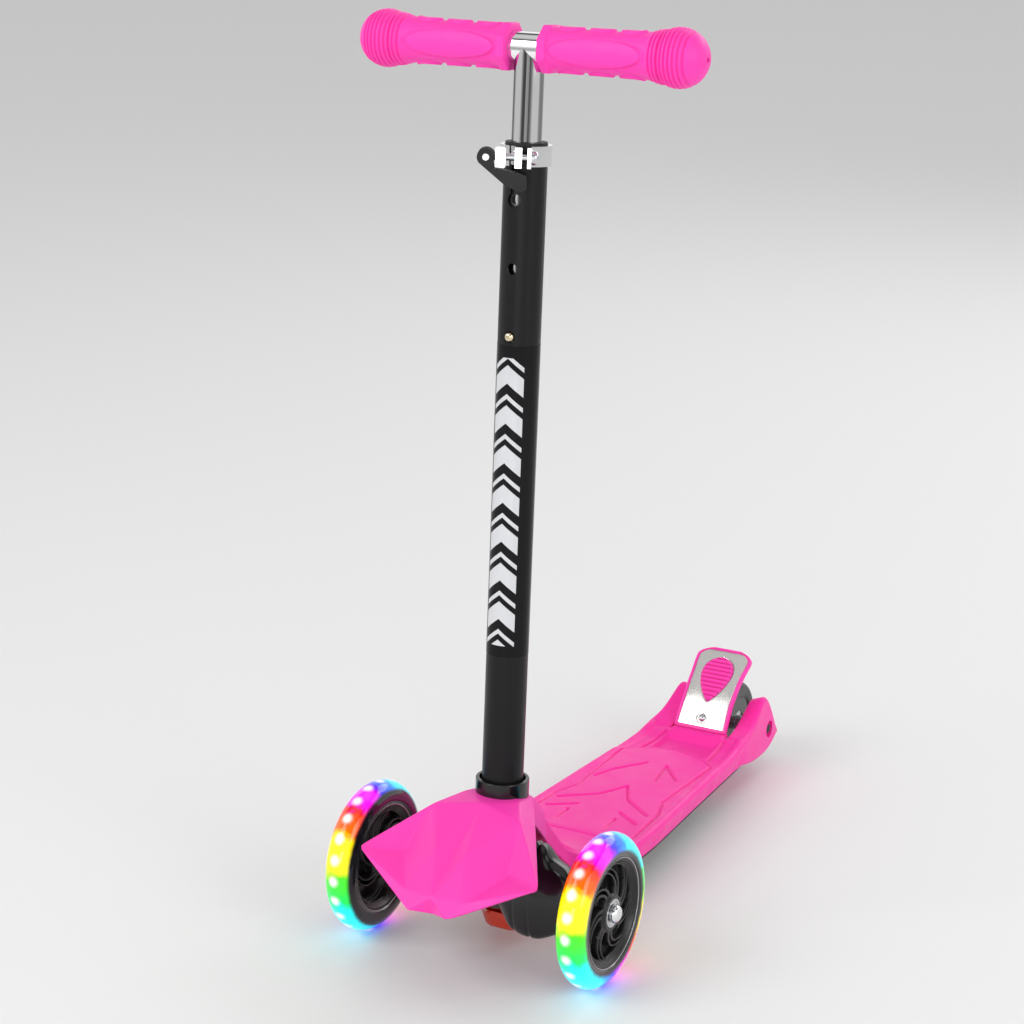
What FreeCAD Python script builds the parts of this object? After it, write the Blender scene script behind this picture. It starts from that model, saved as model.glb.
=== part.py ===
"""Three-wheel lean-to-steer kick scooter for small children, as a parametric FreeCAD document.

Frame: millimetres, +Z up, the scooter rolls towards -Y and the rider's left is +X.
The origin lies on the ground under the middle of the scooter's box.
"""
import FreeCAD, Part
import Sketcher
import math
import os

Vector = FreeCAD.Vector
Placement = FreeCAD.Placement
Rotation = FreeCAD.Rotation

X_AXIS = Vector(1, 0, 0)
Y_AXIS = Vector(0, 1, 0)
Z_AXIS = Vector(0, 0, 1)
SIDES = (("left", 1), ("right", -1))

DIMENSIONS = {
    # Where the running gear stands.
    "front_axle_y": -207.65,
    "wheelbase": 465.0,
    "track": 200.0,
    "front_radius": 60.0,
    "rear_radius": 39.0,
    "tyre_width": 24.0,
    # Front wheels.
    "rim_radius": 43.0,
    "rim_wall": 4.5,
    "hub_half_width": 11.0,
    "web_half_width": 2.5,
    "boss_radius": 14.0,
    "rib_count": 7,
    "tyre_crown": 10.5,
    # Ball bearings of the common 22 x 8 x 7 mm size, and the axle bolts that fit them.
    "bearing_radius": 11.0,
    "bearing_bore": 4.0,
    "bearing_width": 7.0,
    "bearing_gap": 6.4,
    "axle_radius": 3.95,
    "bolt_head_radius": 7.0,
    "axle_bolt_reach": 44.0,
    "bolt_head_height": 5.4,
    # Rear wheel.
    "rear_rim_radius": 24.0,
    "rear_cheek_inner": 28.0,
    "rear_cheek_outer": 42.0,
    # Stem: its foot is on the collar's rim, and it leans back by the rake.
    "stem_foot_ahead": 26.2,
    "stem_foot_height": 137.7,
    "stem_rake": 2.46,
    "stem_outer_radius": 16.0,
    "stem_inner_radius": 14.0,
    "stem_top": 483.7,
    "stem_bottom": 30.0,
    "collar_outer_radius": 20.7,
    "collar_inner_radius": 18.0,
    # Height adjustment: three catch holes, one pitch apart.
    "catch_low": 345.0,
    "catch_pitch": 50.0,
    "catch_hole_radius": 4.15,
    "key_hole_radius": 5.5,
    "slot_width": 6.4,
    # T-bar.
    "bar_radius": 11.1,
    "bar_wall": 1.8,
    "crossbar_height": 552.8,
    "grip_start": 13.0,
    "grip_body_end": 100.0,
    "grip_radius": 15.5,
    "grip_ball_radius": 21.4,
    "grip_ball_centre": 118.0,
    "flange_radius": 18.5,
    # Quick-release clamp on the stem's top end.
    "clamp_height": 476.8,
    "clamp_turn": 26.0,
    "clamp_tall": 14.6,
    "band_radius": 18.8,
    "clamp_bolt_reach": 24.5,
    "lever_pin_across": 27.7,
    "lever_pin_radius": 3.1,
    "lever_head_radius": 6.5,
    # Lean pivot, an inclined pin through the truck's barrel.
    "pivot_back": 10.0,
    "pivot_height": 60.0,
    "pivot_slope": 45.0,
    "pivot_radius": 6.0,
    "barrel_radius": 17.0,
    "barrel_half": 24.0,
    # Deck and brake.
    "deck_wall": 3.0,
    "cover_wall": 2.5,
    "brake_pin_back": 404.0,
    "brake_pin_height": 45.5,
    "brake_half_width": 25.5,
    "brake_slope": 45.0,
    "brake_length": 86.0,
    "brake_pad_half": 14.5,
    # Deck screws and the bosses they run into.
    "screw_radius": 1.5,
    "screw_head_radius": 3.2,
    "screw_boss_radius": 3.6,
    "screw_boss_foot": 30.6,
    # The cross bolt that holds the stem in the steering head.
    "stem_bolt_radius": 3.0,
    "stem_bolt_height": -24.0,
    "head_half_width": 16.0,
    "cradle_half_width": 15.0,
}

doc = FreeCAD.newDocument("KickScooter")
sheet = doc.addObject("Spreadsheet::Sheet", "Dim")
for row, (alias, value) in enumerate(DIMENSIONS.items(), start=1):
    sheet.set(f"A{row}", alias)
    sheet.set(f"B{row}", str(value))
    sheet.setAlias(f"B{row}", alias)
doc.recompute()


def size(alias):
    """A driving dimension, read back from the sheet."""
    return float(sheet.get(alias))


nodes = {}


def keep(label, piece, place=None):
    """Registers a finished sub-part under its node name and puts it in its place."""
    piece.Label = label
    if place is not None:
        piece.Placement = place
    nodes[label] = piece
    return piece


def bind(piece, **formulas):
    """Binds properties of an object to formulas over the sheet."""
    for name, formula in formulas.items():
        piece.setExpression(name, formula)
    return piece


# ---------------------------------------------------------------- places

FRONT_Y = size("front_axle_y")
REAR_Y = FRONT_Y + size("wheelbase")
STEM = Placement(
    Vector(0, FRONT_Y + size("stem_foot_ahead"), size("stem_foot_height")),
    Rotation(X_AXIS, -size("stem_rake")),
)
CLAMP = STEM * Placement(Vector(0, 0, size("clamp_height")), Rotation(Z_AXIS, size("clamp_turn")))
PIVOT = Placement(
    Vector(0, FRONT_Y + size("pivot_back"), size("pivot_height")),
    Rotation(X_AXIS, size("pivot_slope")),
)
BRAKE = Placement(
    Vector(0, FRONT_Y + size("brake_pin_back"), size("brake_pin_height")),
    Rotation(X_AXIS, size("brake_slope")),
)


def wheel_place(side):
    """A front wheel's centre, with its own +Z pointing outward along the axle."""
    centre = Vector(side * size("track") / 2, FRONT_Y, size("front_radius"))
    return Placement(centre, Rotation(Y_AXIS, side * 90))


REAR_WHEEL = Placement(Vector(0, REAR_Y, size("rear_radius")), Rotation(Y_AXIS, 90))


def crossbar_place(side):
    """The middle of the crossbar, with its own +Z pointing along the grip."""
    return STEM * Placement(Vector(0, 0, size("crossbar_height")), Rotation(Y_AXIS, side * 90))


# ---------------------------------------------------------------- building helpers

def cylinder(radius, height, base=Vector(0, 0, 0), turn=Rotation(), base_z=None):
    """A Part cylinder whose radius and height are formulas."""
    piece = doc.addObject("Part::Cylinder", "Cylinder")
    piece.Placement = Placement(base, turn)
    bind(piece, Radius=radius, Height=height)
    if base_z is not None:
        piece.setExpression("Placement.Base.z", base_z)
    return piece


def cut(base, tool):
    """base with tool taken away."""
    piece = doc.addObject("Part::Cut", "Cut")
    piece.Base = base
    piece.Tool = tool
    return piece


def cut_all(base, tools):
    """base with every tool taken away, one after another."""
    for tool in tools:
        base = cut(base, tool)
    return base


def fuse(pieces):
    """Several solids joined into one."""
    piece = doc.addObject("Part::MultiFuse", "Fuse")
    piece.Shapes = pieces
    return piece


def group(pieces):
    """Separate solids kept together in one node."""
    piece = doc.addObject("Part::Compound", "Group")
    piece.Links = pieces
    return piece


def tube(outer, inner, height, base_z="0"):
    """A round tube along Z."""
    wall = cylinder(outer, height, base_z=base_z)
    bore = cylinder(inner, height, base_z=base_z)
    return cut(wall, bore)


def shape_of(name, shape):
    """A solid made with Part's own functions."""
    piece = doc.addObject("Part::Feature", name)
    piece.Shape = shape
    return piece


def origin_plane(body, role):
    """One of a body's own origin planes or axes, by its role."""
    return next(item for item in body.Origin.OriginFeatures if item.Role == role)


def closed_outline(body, role, corners):
    """A sketch of straight edges whose corners are all dimensioned from the origin by formulas."""
    sketch = body.newObject("Sketcher::SketchObject", "Outline")
    sketch.AttachmentSupport = (origin_plane(body, role), "")
    sketch.MapMode = "FlatFace"
    count = len(corners)
    rough = [
        Vector(60 + 50 * math.cos(2 * math.pi * k / count), 50 * math.sin(2 * math.pi * k / count), 0)
        for k in range(count)
    ]
    for k in range(count):
        sketch.addGeometry(Part.LineSegment(rough[k], rough[(k + 1) % count]), False)
    for k in range(count):
        sketch.addConstraint(Sketcher.Constraint("Coincident", k, 2, (k + 1) % count, 1))
    for k, (across, along) in enumerate(corners):
        for kind, start, formula in (
            ("DistanceX", rough[k].x, across),
            ("DistanceY", rough[k].y, along),
        ):
            index = sketch.addConstraint(Sketcher.Constraint(kind, -1, 1, k, 1, start))
            sketch.setExpression(f"Constraints[{index}]", formula)
    return sketch


def turned(name, corners, rounds=()):
    """A PartDesign body turned about Z from an outline of (radius, height) formulas.

    rounds lists (corner number, radius formula) pairs for the edges to be rounded off.
    """
    body = doc.addObject("PartDesign::Body", name)
    sketch = closed_outline(body, "XZ_Plane", corners)
    turn = body.newObject("PartDesign::Revolution", "Turn")
    turn.Profile = sketch
    turn.ReferenceAxis = (sketch, ["V_Axis"])
    turn.Angle = 360
    doc.recompute()
    for corner, radius in rounds:
        spot = sketch.Geometry[corner].StartPoint
        base = body.Tip
        names = [
            f"Edge{number}"
            for number, edge in enumerate(base.Shape.Edges, start=1)
            if isinstance(edge.Curve, Part.Circle)
            and abs(edge.Curve.Radius - spot.x) < 1e-4
            and abs(edge.Curve.Center.z - spot.y) < 1e-4
        ]
        fillet = body.newObject("PartDesign::Fillet", "Round")
        fillet.Base = (base, names)
        fillet.setExpression("Radius", radius)
        doc.recompute()
    return body


def polygon_face(points):
    """A flat face through the given points."""
    return Part.Face(Part.makePolygon([*points, points[0]]))


def side_prism(outline, x_from, x_to):
    """An outline of (back, height) points from the front axle's line, swept across X."""
    points = [Vector(x_from, FRONT_Y + back, height) for back, height in outline]
    return polygon_face(points).extrude(Vector(x_to - x_from, 0, 0))


def lofted(sections):
    """A straight-sided loft through closed polygons with equally many corners."""
    return Part.makeLoft([Part.makePolygon([*s, s[0]]) for s in sections], True, True)


def mirrored(shape):
    """The same shape on the scooter's other side."""
    return shape.mirror(Vector(0, 0, 0), X_AXIS)


# ---------------------------------------------------------------- front wheels

def front_tyre(name):
    """Solid light-up tyre with a rounded crown, and a groove inside for its light ring."""
    half = "Dim.tyre_width / 2"
    seat = "Dim.rim_radius + 0.1"
    groove = "4"
    groove_floor = f"{seat} + 3"
    return turned(name, [
        (seat, f"-{half}"),
        ("Dim.front_radius", f"-{half}"),
        ("Dim.front_radius", half),
        (seat, half),
        (seat, groove),
        (groove_floor, groove),
        (groove_floor, f"-{groove}"),
        (seat, f"-{groove}"),
    ], rounds=((1, "Dim.tyre_crown"), (2, "Dim.tyre_crown")))


def light_ring(name):
    """Flexible lamp strip that lies in the tyre's groove."""
    half = "3.7"
    inside = "Dim.rim_radius + 0.2"
    outside = "Dim.rim_radius + 2.8"
    return turned(name, [
        (inside, f"-{half}"),
        (outside, f"-{half}"),
        (outside, half),
        (inside, half),
    ])


def rib_sweep():
    """The curved ribs between the boss and the rim, on both faces of the web."""
    boss = size("boss_radius")
    rim = size("rim_radius") - size("rim_wall")
    count = int(size("rib_count"))
    bow = (rim - boss) * 0.95
    half_thick = 1.1
    overlap = 1.0
    height = 2 * (size("hub_half_width") - 2)
    centre = Vector(boss + bow * 0.55, -bow * 0.62, -height / 2)
    middle = Vector(0, 0, -height / 2)
    outer = Part.makeCylinder(bow + half_thick, height, centre)
    ring = outer.cut(Part.makeCylinder(bow - half_thick, height, centre))
    reach = Part.makeCylinder(rim + overlap, height, middle)
    reach = reach.cut(Part.makeCylinder(boss - overlap, height, middle))
    upper = Part.makeBox(2 * rim, 2 * rim, height, Vector(0, centre.y, -height / 2))
    rib = ring.common(reach).common(upper)
    ribs = []
    for k in range(count):
        copy = rib.copy()
        copy.rotate(Vector(0, 0, 0), Z_AXIS, 360 * k / count)
        ribs.append(copy)
    return ribs


def front_hub(name):
    """Wheel centre: rim, web, boss with two bearing pockets, and swirling ribs."""
    pocket = "Dim.bearing_gap / 2"
    mouth = "Dim.bearing_gap / 2 + Dim.bearing_width + 0.1"
    rim_inside = "Dim.rim_radius - Dim.rim_wall"
    profile = [
        ("Dim.bearing_radius - 2", f"-({pocket})"),
        ("Dim.bearing_radius + 0.02", f"-({pocket})"),
        ("Dim.bearing_radius + 0.02", f"-({mouth})"),
        ("Dim.boss_radius", f"-({mouth})"),
        ("Dim.boss_radius", "-Dim.web_half_width"),
        (rim_inside, "-Dim.web_half_width"),
        (rim_inside, "-Dim.hub_half_width"),
        ("Dim.rim_radius", "-Dim.hub_half_width"),
    ]
    other_face = [(radius, f"-({height})") for radius, height in reversed(profile)]
    wheel = turned(name + "_turning", profile + other_face)
    ribs = [shape_of(name + "_rib", rib) for rib in rib_sweep()]
    return fuse([wheel, *ribs])


def ball_bearing(name, low):
    """One shielded ball bearing, from height low upward."""
    top = f"{low} + Dim.bearing_width"
    step = "Dim.bearing_bore + 1.6"
    shield = "Dim.bearing_radius - 1.6"
    return turned(name, [
        ("Dim.bearing_bore", low),
        (step, low),
        (step, f"{low} + 0.5"),
        (shield, f"{low} + 0.5"),
        (shield, low),
        ("Dim.bearing_radius", low),
        ("Dim.bearing_radius", top),
        (shield, top),
        (shield, f"{top} - 0.5"),
        (step, f"{top} - 0.5"),
        (step, top),
        ("Dim.bearing_bore", top),
    ])


def bearing_pair(name):
    """The two bearings of one wheel."""
    return group([
        ball_bearing(name + "_outer", "Dim.bearing_gap / 2"),
        ball_bearing(name + "_inner", "-Dim.bearing_gap / 2 - Dim.bearing_width"),
    ])


def axle_bolt(name):
    """Domed axle bolt: its head stands outside the wheel and its shank runs into the truck."""
    seat = "Dim.bearing_gap / 2 + Dim.bearing_width + 0.3"
    return turned(name, [
        ("0", "-Dim.axle_bolt_reach"),
        ("Dim.axle_radius", "-Dim.axle_bolt_reach"),
        ("Dim.axle_radius", seat),
        ("Dim.bolt_head_radius", seat),
        ("Dim.bolt_head_radius", f"{seat} + Dim.bolt_head_height"),
        ("0", f"{seat} + Dim.bolt_head_height"),
    ], rounds=((4, "Dim.bolt_head_height - 1.2"),))


for side_name, side in SIDES:
    place = wheel_place(side)
    keep(f"tyre_{side_name}", front_tyre(f"Tyre_{side_name}"), place)
    keep(f"light_ring_{side_name}", light_ring(f"LightRing_{side_name}"), place)
    keep(f"hub_{side_name}", front_hub(f"Hub_{side_name}"), place)
    keep(f"wheel_bearings_{side_name}", bearing_pair(f"Bearing_{side_name}"), place)
    coil = tube("Dim.bearing_radius - 2.1", "6.9", "5.2", base_z="-2.6")
    keep(f"generator_coil_{side_name}", coil, place)
    magnet = tube("6.3", "Dim.bearing_bore", "5.2", base_z="-2.6")
    keep(f"generator_magnet_{side_name}", magnet, place)
    keep(f"axle_bolt_{side_name}", axle_bolt(f"AxleBolt_{side_name}"), place)


# ---------------------------------------------------------------- truck and lean pivot

ARM_SECTIONS = (
    # distance from the middle, then six (back, height) corners from the lowest front one round
    (10, ((8, 40), (16, 36), (33, 54), (12, 76), (2, 82), (-13, 64))),
    (26, ((-10, 29), (14, 27), (26, 50), (20, 84), (4, 88), (-16, 60))),
    (38, ((-12, 25.5), (14, 25.5), (24, 55), (19, 98), (2, 102), (-17, 62))),
    (50, ((-11, 25), (13, 25), (22, 55), (17, 97), (0, 101), (-16, 62))),
    (57, ((-10, 28), (12, 28), (20, 58), (16, 88), (-2, 90), (-15, 62))),
    (70, ((-8, 35), (10, 35), (16, 60), (13, 84), (-4, 85), (-14, 62))),
    (86, ((-8, 49), (8, 49), (12, 60), (8, 72), (-8, 72), (-12, 60))),
)


def truck_shape():
    """Cross arm that carries both front wheels and swings on the lean pivot."""
    sections = [
        [Vector(across, FRONT_Y + back, height) for back, height in corners]
        for across, corners in ARM_SECTIONS
    ]
    arm = lofted(sections)
    tip = size("track") / 2 - size("bearing_gap") / 2 - size("bearing_width") - 0.3
    start = ARM_SECTIONS[-1][0] - 4
    boss_radius = 7.5
    bolt_end = size("track") / 2 - size("axle_bolt_reach")
    hole_start = bolt_end - 0.8
    axle_height = size("front_radius")
    boss = Part.makeCylinder(boss_radius, tip - start, Vector(start, FRONT_Y, axle_height), X_AXIS)
    arm = arm.fuse(boss)
    barrel = Part.makeCylinder(
        size("barrel_radius"), 2 * size("barrel_half"), Vector(0, 0, -size("barrel_half"))
    )
    barrel.Placement = PIVOT
    bore = Part.makeCylinder(size("pivot_radius") + 0.05, 120, Vector(0, 0, -60))
    bore.Placement = PIVOT
    axle_hole = Part.makeCylinder(
        size("bearing_bore"), size("track") / 2 - hole_start, Vector(hole_start, FRONT_Y, axle_height), X_AXIS
    )
    half = arm.cut(axle_hole)
    whole = half.fuse([mirrored(half), barrel]).removeSplitter()
    return whole.cut(bore)


keep("truck", shape_of("Truck", truck_shape()))

pivot_pin = turned("PivotPin", [
    ("0", "-52"),
    ("Dim.pivot_radius", "-52"),
    ("Dim.pivot_radius", "45"),
    ("9", "45"),
    ("9", "50"),
    ("0", "50"),
], rounds=((4, "1.2"),))
keep("pivot_pin", pivot_pin, PIVOT)


def pivot_nut():
    """Hexagon nut under the cradle, on the pivot pin's lower end."""
    nut = doc.addObject("Part::Prism", "Nut")
    nut.Polygon = 6
    nut.Circumradius = 10.4
    nut.Height = 5
    nut.Placement = Placement(Vector(0, 0, -51), Rotation())
    pin_room = cylinder("Dim.pivot_radius", "7", Vector(0, 0, -52))
    return cut(nut, pin_room)


keep("pivot_nut", pivot_nut(), PIVOT)


def lean_buffers():
    """Rubber blocks, left and right, that the truck squeezes to return upright."""
    radius = 4.0
    height = 26.0
    across = 20.8
    back = 8.0
    foot = 77.0
    blocks = []
    for _, side in SIDES:
        rubber = Part.makeCylinder(radius, height, Vector(side * across, FRONT_Y + back, foot))
        blocks.append(rubber.cut(nodes["truck"].Shape))
    return Part.makeCompound(blocks)


# ---------------------------------------------------------------- steering head and cradle

# Side views as (back, height) corners from the front axle's line.
HEAD_OUTLINE = (
    (-17.9, 68.1), (-32.4, 82.6), (-26, 104), (-4, 119), (24, 118), (44, 104), (46, 98), (28, 84), (5, 93),
    (1.9, 87.9),
)
HEAD_SHOULDER = ((-12, 103), (-6, 109), (14, 109), (14, 103))
CRADLE_OUTLINE = (
    (18.8, 32.8), (33.3, 18.3), (60, 22), (98, 33), (98, 42), (84, 44), (46, 82), (39, 78), (44, 58), (37.2, 51.2),
)


def steering_head():
    """Black core under the cover: socket for the stem, and the pivot pin's upper lug."""
    half = size("head_half_width")
    shoulder_half = half * 1.5
    socket_radius = size("stem_outer_radius") + 3
    core = side_prism(HEAD_OUTLINE, -half, half)
    shoulder = side_prism(HEAD_SHOULDER, -shoulder_half, shoulder_half)
    socket = Part.makeCylinder(socket_radius, 21, Vector(0, 0, -size("stem_bottom") - 10))
    socket.Placement = STEM
    head = core.fuse([shoulder, socket]).removeSplitter()
    stem_hole = Part.makeCylinder(size("stem_outer_radius") + 0.05, 60, Vector(0, 0, -size("stem_bottom")))
    stem_hole.Placement = STEM
    pin_hole = Part.makeCylinder(size("pivot_radius"), 45, Vector(0, 0, 10))
    pin_hole.Placement = PIVOT
    pin_head_room = Part.makeCylinder(9.2, 20, Vector(0, 0, 45))
    pin_head_room.Placement = PIVOT
    bolt_start = Vector(-3 * half, 0, size("stem_bolt_height"))
    bolt_hole = Part.makeCylinder(size("stem_bolt_radius"), 6 * half, bolt_start, X_AXIS)
    bolt_hole.Placement = STEM
    return head.cut([stem_hole, pin_hole, pin_head_room, bolt_hole])


keep("steering_head", shape_of("SteeringHead", steering_head()))


def pivot_cradle():
    """Cradle under the deck's neck that holds the pivot pin's lower end."""
    half = size("cradle_half_width")
    cradle = side_prism(CRADLE_OUTLINE, -half, half)
    pin_hole = Part.makeCylinder(size("pivot_radius"), 45, Vector(0, 0, -55))
    pin_hole.Placement = PIVOT
    nut_room = Part.makeCylinder(11.5, 40, Vector(0, 0, -86))
    nut_room.Placement = PIVOT
    return cradle.cut([pin_hole, nut_room])


keep("pivot_cradle", shape_of("PivotCradle", pivot_cradle()))
keep("lean_buffers", shape_of("LeanBuffers", lean_buffers()))


def stem_bolt():
    """Cross bolt through the steering head and the stem's foot, with a head at each end."""
    half = 19.2
    head = 1.8
    height = size("stem_bolt_height")
    along_x = Rotation(Y_AXIS, 90)
    shank = cylinder("Dim.stem_bolt_radius", str(2 * half), Vector(-half, 0, height), along_x)
    heads = [
        cylinder("Dim.stem_bolt_radius + 1", str(head), Vector(start, 0, height), along_x)
        for start in (-half - head, half)
    ]
    return fuse([shank, *heads])


keep("stem_bolt", stem_bolt(), STEM)


# ---------------------------------------------------------------- front cover

COVER_POINTS = {
    # name: (out to the side, back from the front axle, height)
    "top_front": (0, -6, 128),
    "top_side": (24, 10, 127),
    "crease_top": (37.5, -14, 122.6),
    "shoulder": (43, 0, 115),
    "corner": (75, -57, 95),
    "crease_low": (25.4, -78, 79.6),
    "nose": (16, -88.7, 69.4),
    "brow": (0, -82, 80),
    "notch": (0, -80, 65),
    "ridge": (22, 36, 122),
    "ridge_end": (21.5, 48, 109.5),
    "crown_end": (0, 48, 123.5),
    "crown": (0, 34, 127),
    "hem": (26, 29, 104),
    "hem_end": (24, 48, 85.5),
}
COVER_FACETS = (
    ("top_front", "crease_top", "brow"), ("crease_top", "crease_low", "brow"),
    ("brow", "crease_low", "nose"), ("brow", "nose", "notch"),
    ("crease_top", "corner", "crease_low"), ("crease_low", "corner", "nose"),
    ("crease_top", "shoulder", "corner"),
    ("top_front", "top_side", "crease_top"), ("top_side", "shoulder", "crease_top"),
    ("top_side", "ridge", "shoulder"), ("ridge", "hem", "shoulder"),
    ("ridge", "ridge_end", "hem"), ("ridge_end", "hem_end", "hem"),
    ("top_front", "crown", "top_side"), ("crown", "ridge", "top_side"),
    ("crown", "crown_end", "ridge"), ("crown_end", "ridge_end", "ridge"),
)


def folded_shell(points, facets, wall, inside):
    """A closed solid of even wall thickness under an open, folded surface of flat facets.

    The facets are given for one side, and mirrored. inside is any point under the surface.
    """
    spots = {}
    triangles = []
    for side in (1, -1):
        for facet in facets:
            corners = []
            for name in facet:
                x, back, height = points[name]
                key = (name, side if x else 0)
                spots[key] = Vector(side * x, FRONT_Y + back, height)
                corners.append(key)
            a, b, c = (spots[key] for key in corners)
            normal = (b - a).cross(c - a)
            if normal.dot(a - inside) < 0:
                corners.reverse()
            triangles.append(tuple(corners))
    inner = {}
    for key, spot in spots.items():
        normals = []
        for corners in triangles:
            if key in corners:
                a, b, c = (spots[corner] for corner in corners)
                normals.append((b - a).cross(c - a).normalize())
        mean = Vector(0, 0, 0)
        for normal in normals:
            mean = mean + normal
        mean.normalize()
        lean = max(0.6, min(mean.dot(normal) for normal in normals))
        inner[key] = spot - mean * (wall / lean)
    faces = []
    rims = {}
    for corners in triangles:
        faces.append(polygon_face([spots[key] for key in corners]))
        faces.append(polygon_face([inner[key] for key in reversed(corners)]))
        for start, end in zip(corners, corners[1:] + corners[:1]):
            if (end, start) in rims:
                del rims[(end, start)]
            else:
                rims[(start, end)] = True
    for start, end in rims:
        faces.append(polygon_face([spots[end], spots[start], inner[start]]))
        faces.append(polygon_face([spots[end], inner[start], inner[end]]))
    shell = Part.makeShell(faces)
    shell.sewShape()
    solid = Part.makeSolid(shell)
    if solid.Volume < 0:
        solid.reverse()
    return solid


def front_cover():
    """Faceted cover over the truck, with the hole that the collar stands in."""
    inside = Vector(0, FRONT_Y + 5, 85)
    skin = folded_shell(COVER_POINTS, COVER_FACETS, size("cover_wall"), inside)
    hole = Part.makeCylinder(size("collar_outer_radius") + 0.2, 60, Vector(0, 0, -30))
    hole.Placement = STEM
    return skin.cut(hole)


keep("front_cover", shape_of("FrontCover", front_cover()))


# ---------------------------------------------------------------- deck

DECK_STATIONS = (
    # back, half width at the rim, half width at the hem, rim height, inner height, crown height, hem
    (48.5, 21.5, 24.0, 109.0, 114.0, 123.0, 85.0),
    (70.0, 23.5, 25.0, 82.0, 87.5, 97.0, 63.0),
    (91.0, 26.5, 27.5, 57.5, 63.5, 70.0, 44.0),
    (103.0, 38.0, 38.0, 50.5, 51.5, 56.0, 33.0),
    (118.0, 50.0, 48.0, 49.0, 48.5, 49.0, 30.0),
    (135.0, 57.5, 54.0, 49.0, 47.5, 47.5, 30.0),
    (155.0, 60.0, 56.5, 49.0, 47.5, 47.5, 30.0),
    (190.0, 60.0, 56.5, 49.0, 47.5, 47.5, 30.0),
    (275.0, 55.5, 52.0, 49.0, 47.5, 47.5, 30.0),
    (360.0, 51.0, 48.0, 49.0, 47.5, 47.5, 30.0),
    (398.0, 48.5, 46.0, 49.0, 46.0, 46.0, 29.0),
)
CHEEK_OUTLINE = (
    (394, 49), (408, 51), (422, 60), (434, 74), (440, 77), (452, 74), (466, 62), (482, 44),
    (489, 30), (484, 22), (462, 19), (447, 17), (434, 20), (394, 29),
)


def deck_sections(shrink, drop):
    """Cross-sections of the deck, drawn in by shrink at the sides and lowered by drop."""
    sections = []
    for back, rim_half, hem_half, rim, inner, crown, hem in DECK_STATIONS:
        hem_height = hem - 6 if shrink else hem
        half = [
            (hem_half - shrink, hem_height),
            (rim_half - shrink, rim - drop),
            (rim_half - 6 - 0.6 * shrink, rim - drop),
            (rim_half - 9 - 0.4 * shrink, inner - drop),
        ]
        row = half + [(0, crown - drop)] + [(-x, z) for x, z in reversed(half)]
        sections.append([Vector(x, FRONT_Y + back, z) for x, z in row])
    return sections


def screw_places():
    """Where the underside's screws stand, as (across, along) pairs."""
    return [(side * 40, FRONT_Y + back) for back in (145, 240, 335) for side in (1, -1)]


def deck_shell():
    """Standing deck in one piece with its neck in front and the rear fork's cheeks."""
    wall = size("deck_wall")
    outer = lofted(deck_sections(0, 0))
    hollow = lofted(deck_sections(wall, wall))
    end_wall = Part.makeBox(200, 60, 200, Vector(-100, FRONT_Y + 392, 0))
    shell = outer.cut(hollow.cut(end_wall))
    inner = size("rear_cheek_inner")
    outside = size("rear_cheek_outer")
    cheek = side_prism(CHEEK_OUTLINE, inner, outside)
    flare = lofted([
        [Vector(x, FRONT_Y + back, z) for x, z in section]
        for back, section in (
            (380.0, ((44, 31), (49.7, 31), (49.7, 49), (44, 49))),
            (430.0, ((30, 22), (42, 22), (44.5, 62), (30, 62))),
        )
    ])
    axle = Part.makeCylinder(size("bearing_bore"), 120, Vector(-60, REAR_Y, size("rear_radius")), X_AXIS)
    recess = Part.makeCylinder(8, 20, Vector(outside - 3, REAR_Y, size("rear_radius")), X_AXIS)
    cheek = cheek.fuse(flare).cut(recess)
    deck = shell.fuse([cheek, mirrored(cheek)])
    bay = Part.makeBox(2 * inner, 110, 120, Vector(-inner, FRONT_Y + 398, -10))
    pin = Part.makeCylinder(2.5, 2 * inner + 12, Vector(-inner - 6, 0, 0), X_AXIS)
    pin.Placement = BRAKE
    deck = deck.cut([bay, axle, pin]).removeSplitter()
    boss_foot = size("screw_boss_foot")
    bosses = []
    threads = []
    for x, y in screw_places():
        bosses.append(Part.makeCylinder(size("screw_boss_radius"), 15, Vector(x, y, boss_foot)))
        threads.append(Part.makeCylinder(size("screw_radius"), 8.2, Vector(x, y, boss_foot)))
    return deck.fuse(bosses).cut(threads)


keep("deck", shape_of("Deck", deck_shell()))


def deck_underside():
    """Black stiffening plate with ribs that closes the deck from below."""
    gap = 0.4
    bottom = 27.0
    thick = 3.5
    rib_foot = bottom + thick - 0.1
    rib_tall = 13.6
    rib_thick = 2.4
    rib_reach = 35.0
    outline = [(s[0], s[2] - size("deck_wall") - gap) for s in DECK_STATIONS if 110 < s[0] < 395]
    points = [Vector(half, FRONT_Y + back, bottom) for back, half in outline]
    points += [Vector(-half, FRONT_Y + back, bottom) for back, half in reversed(outline)]
    plate = polygon_face(points).extrude(Vector(0, 0, thick))
    ribs = []
    for across in (-30, -10, 10, 30):
        foot = Vector(across - rib_thick / 2, FRONT_Y + 130, rib_foot)
        ribs.append(Part.makeBox(rib_thick, 225, rib_tall, foot))
    for back in (150, 210, 270, 330):
        foot = Vector(-rib_reach, FRONT_Y + back, rib_foot)
        ribs.append(Part.makeBox(2 * rib_reach, rib_thick, rib_tall, foot))
    hole = size("screw_radius") + 0.1
    holes = [Part.makeCylinder(hole, 8, Vector(x, y, bottom - 2)) for x, y in screw_places()]
    return plate.fuse(ribs).removeSplitter().cut(holes)


keep("deck_underside", shape_of("DeckUnderside", deck_underside()))


def deck_screws():
    """Screws that hold the stiffening plate, with their heads under it."""
    screws = []
    for x, y in screw_places():
        head = cylinder("Dim.screw_head_radius", "1.7", Vector(x, y, 25.3))
        shank = cylinder("Dim.screw_radius", "11.7", Vector(x, y, 26.9))
        screws.append(fuse([head, shank]))
    return group(screws)


# ---------------------------------------------------------------- rear wheel

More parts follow.
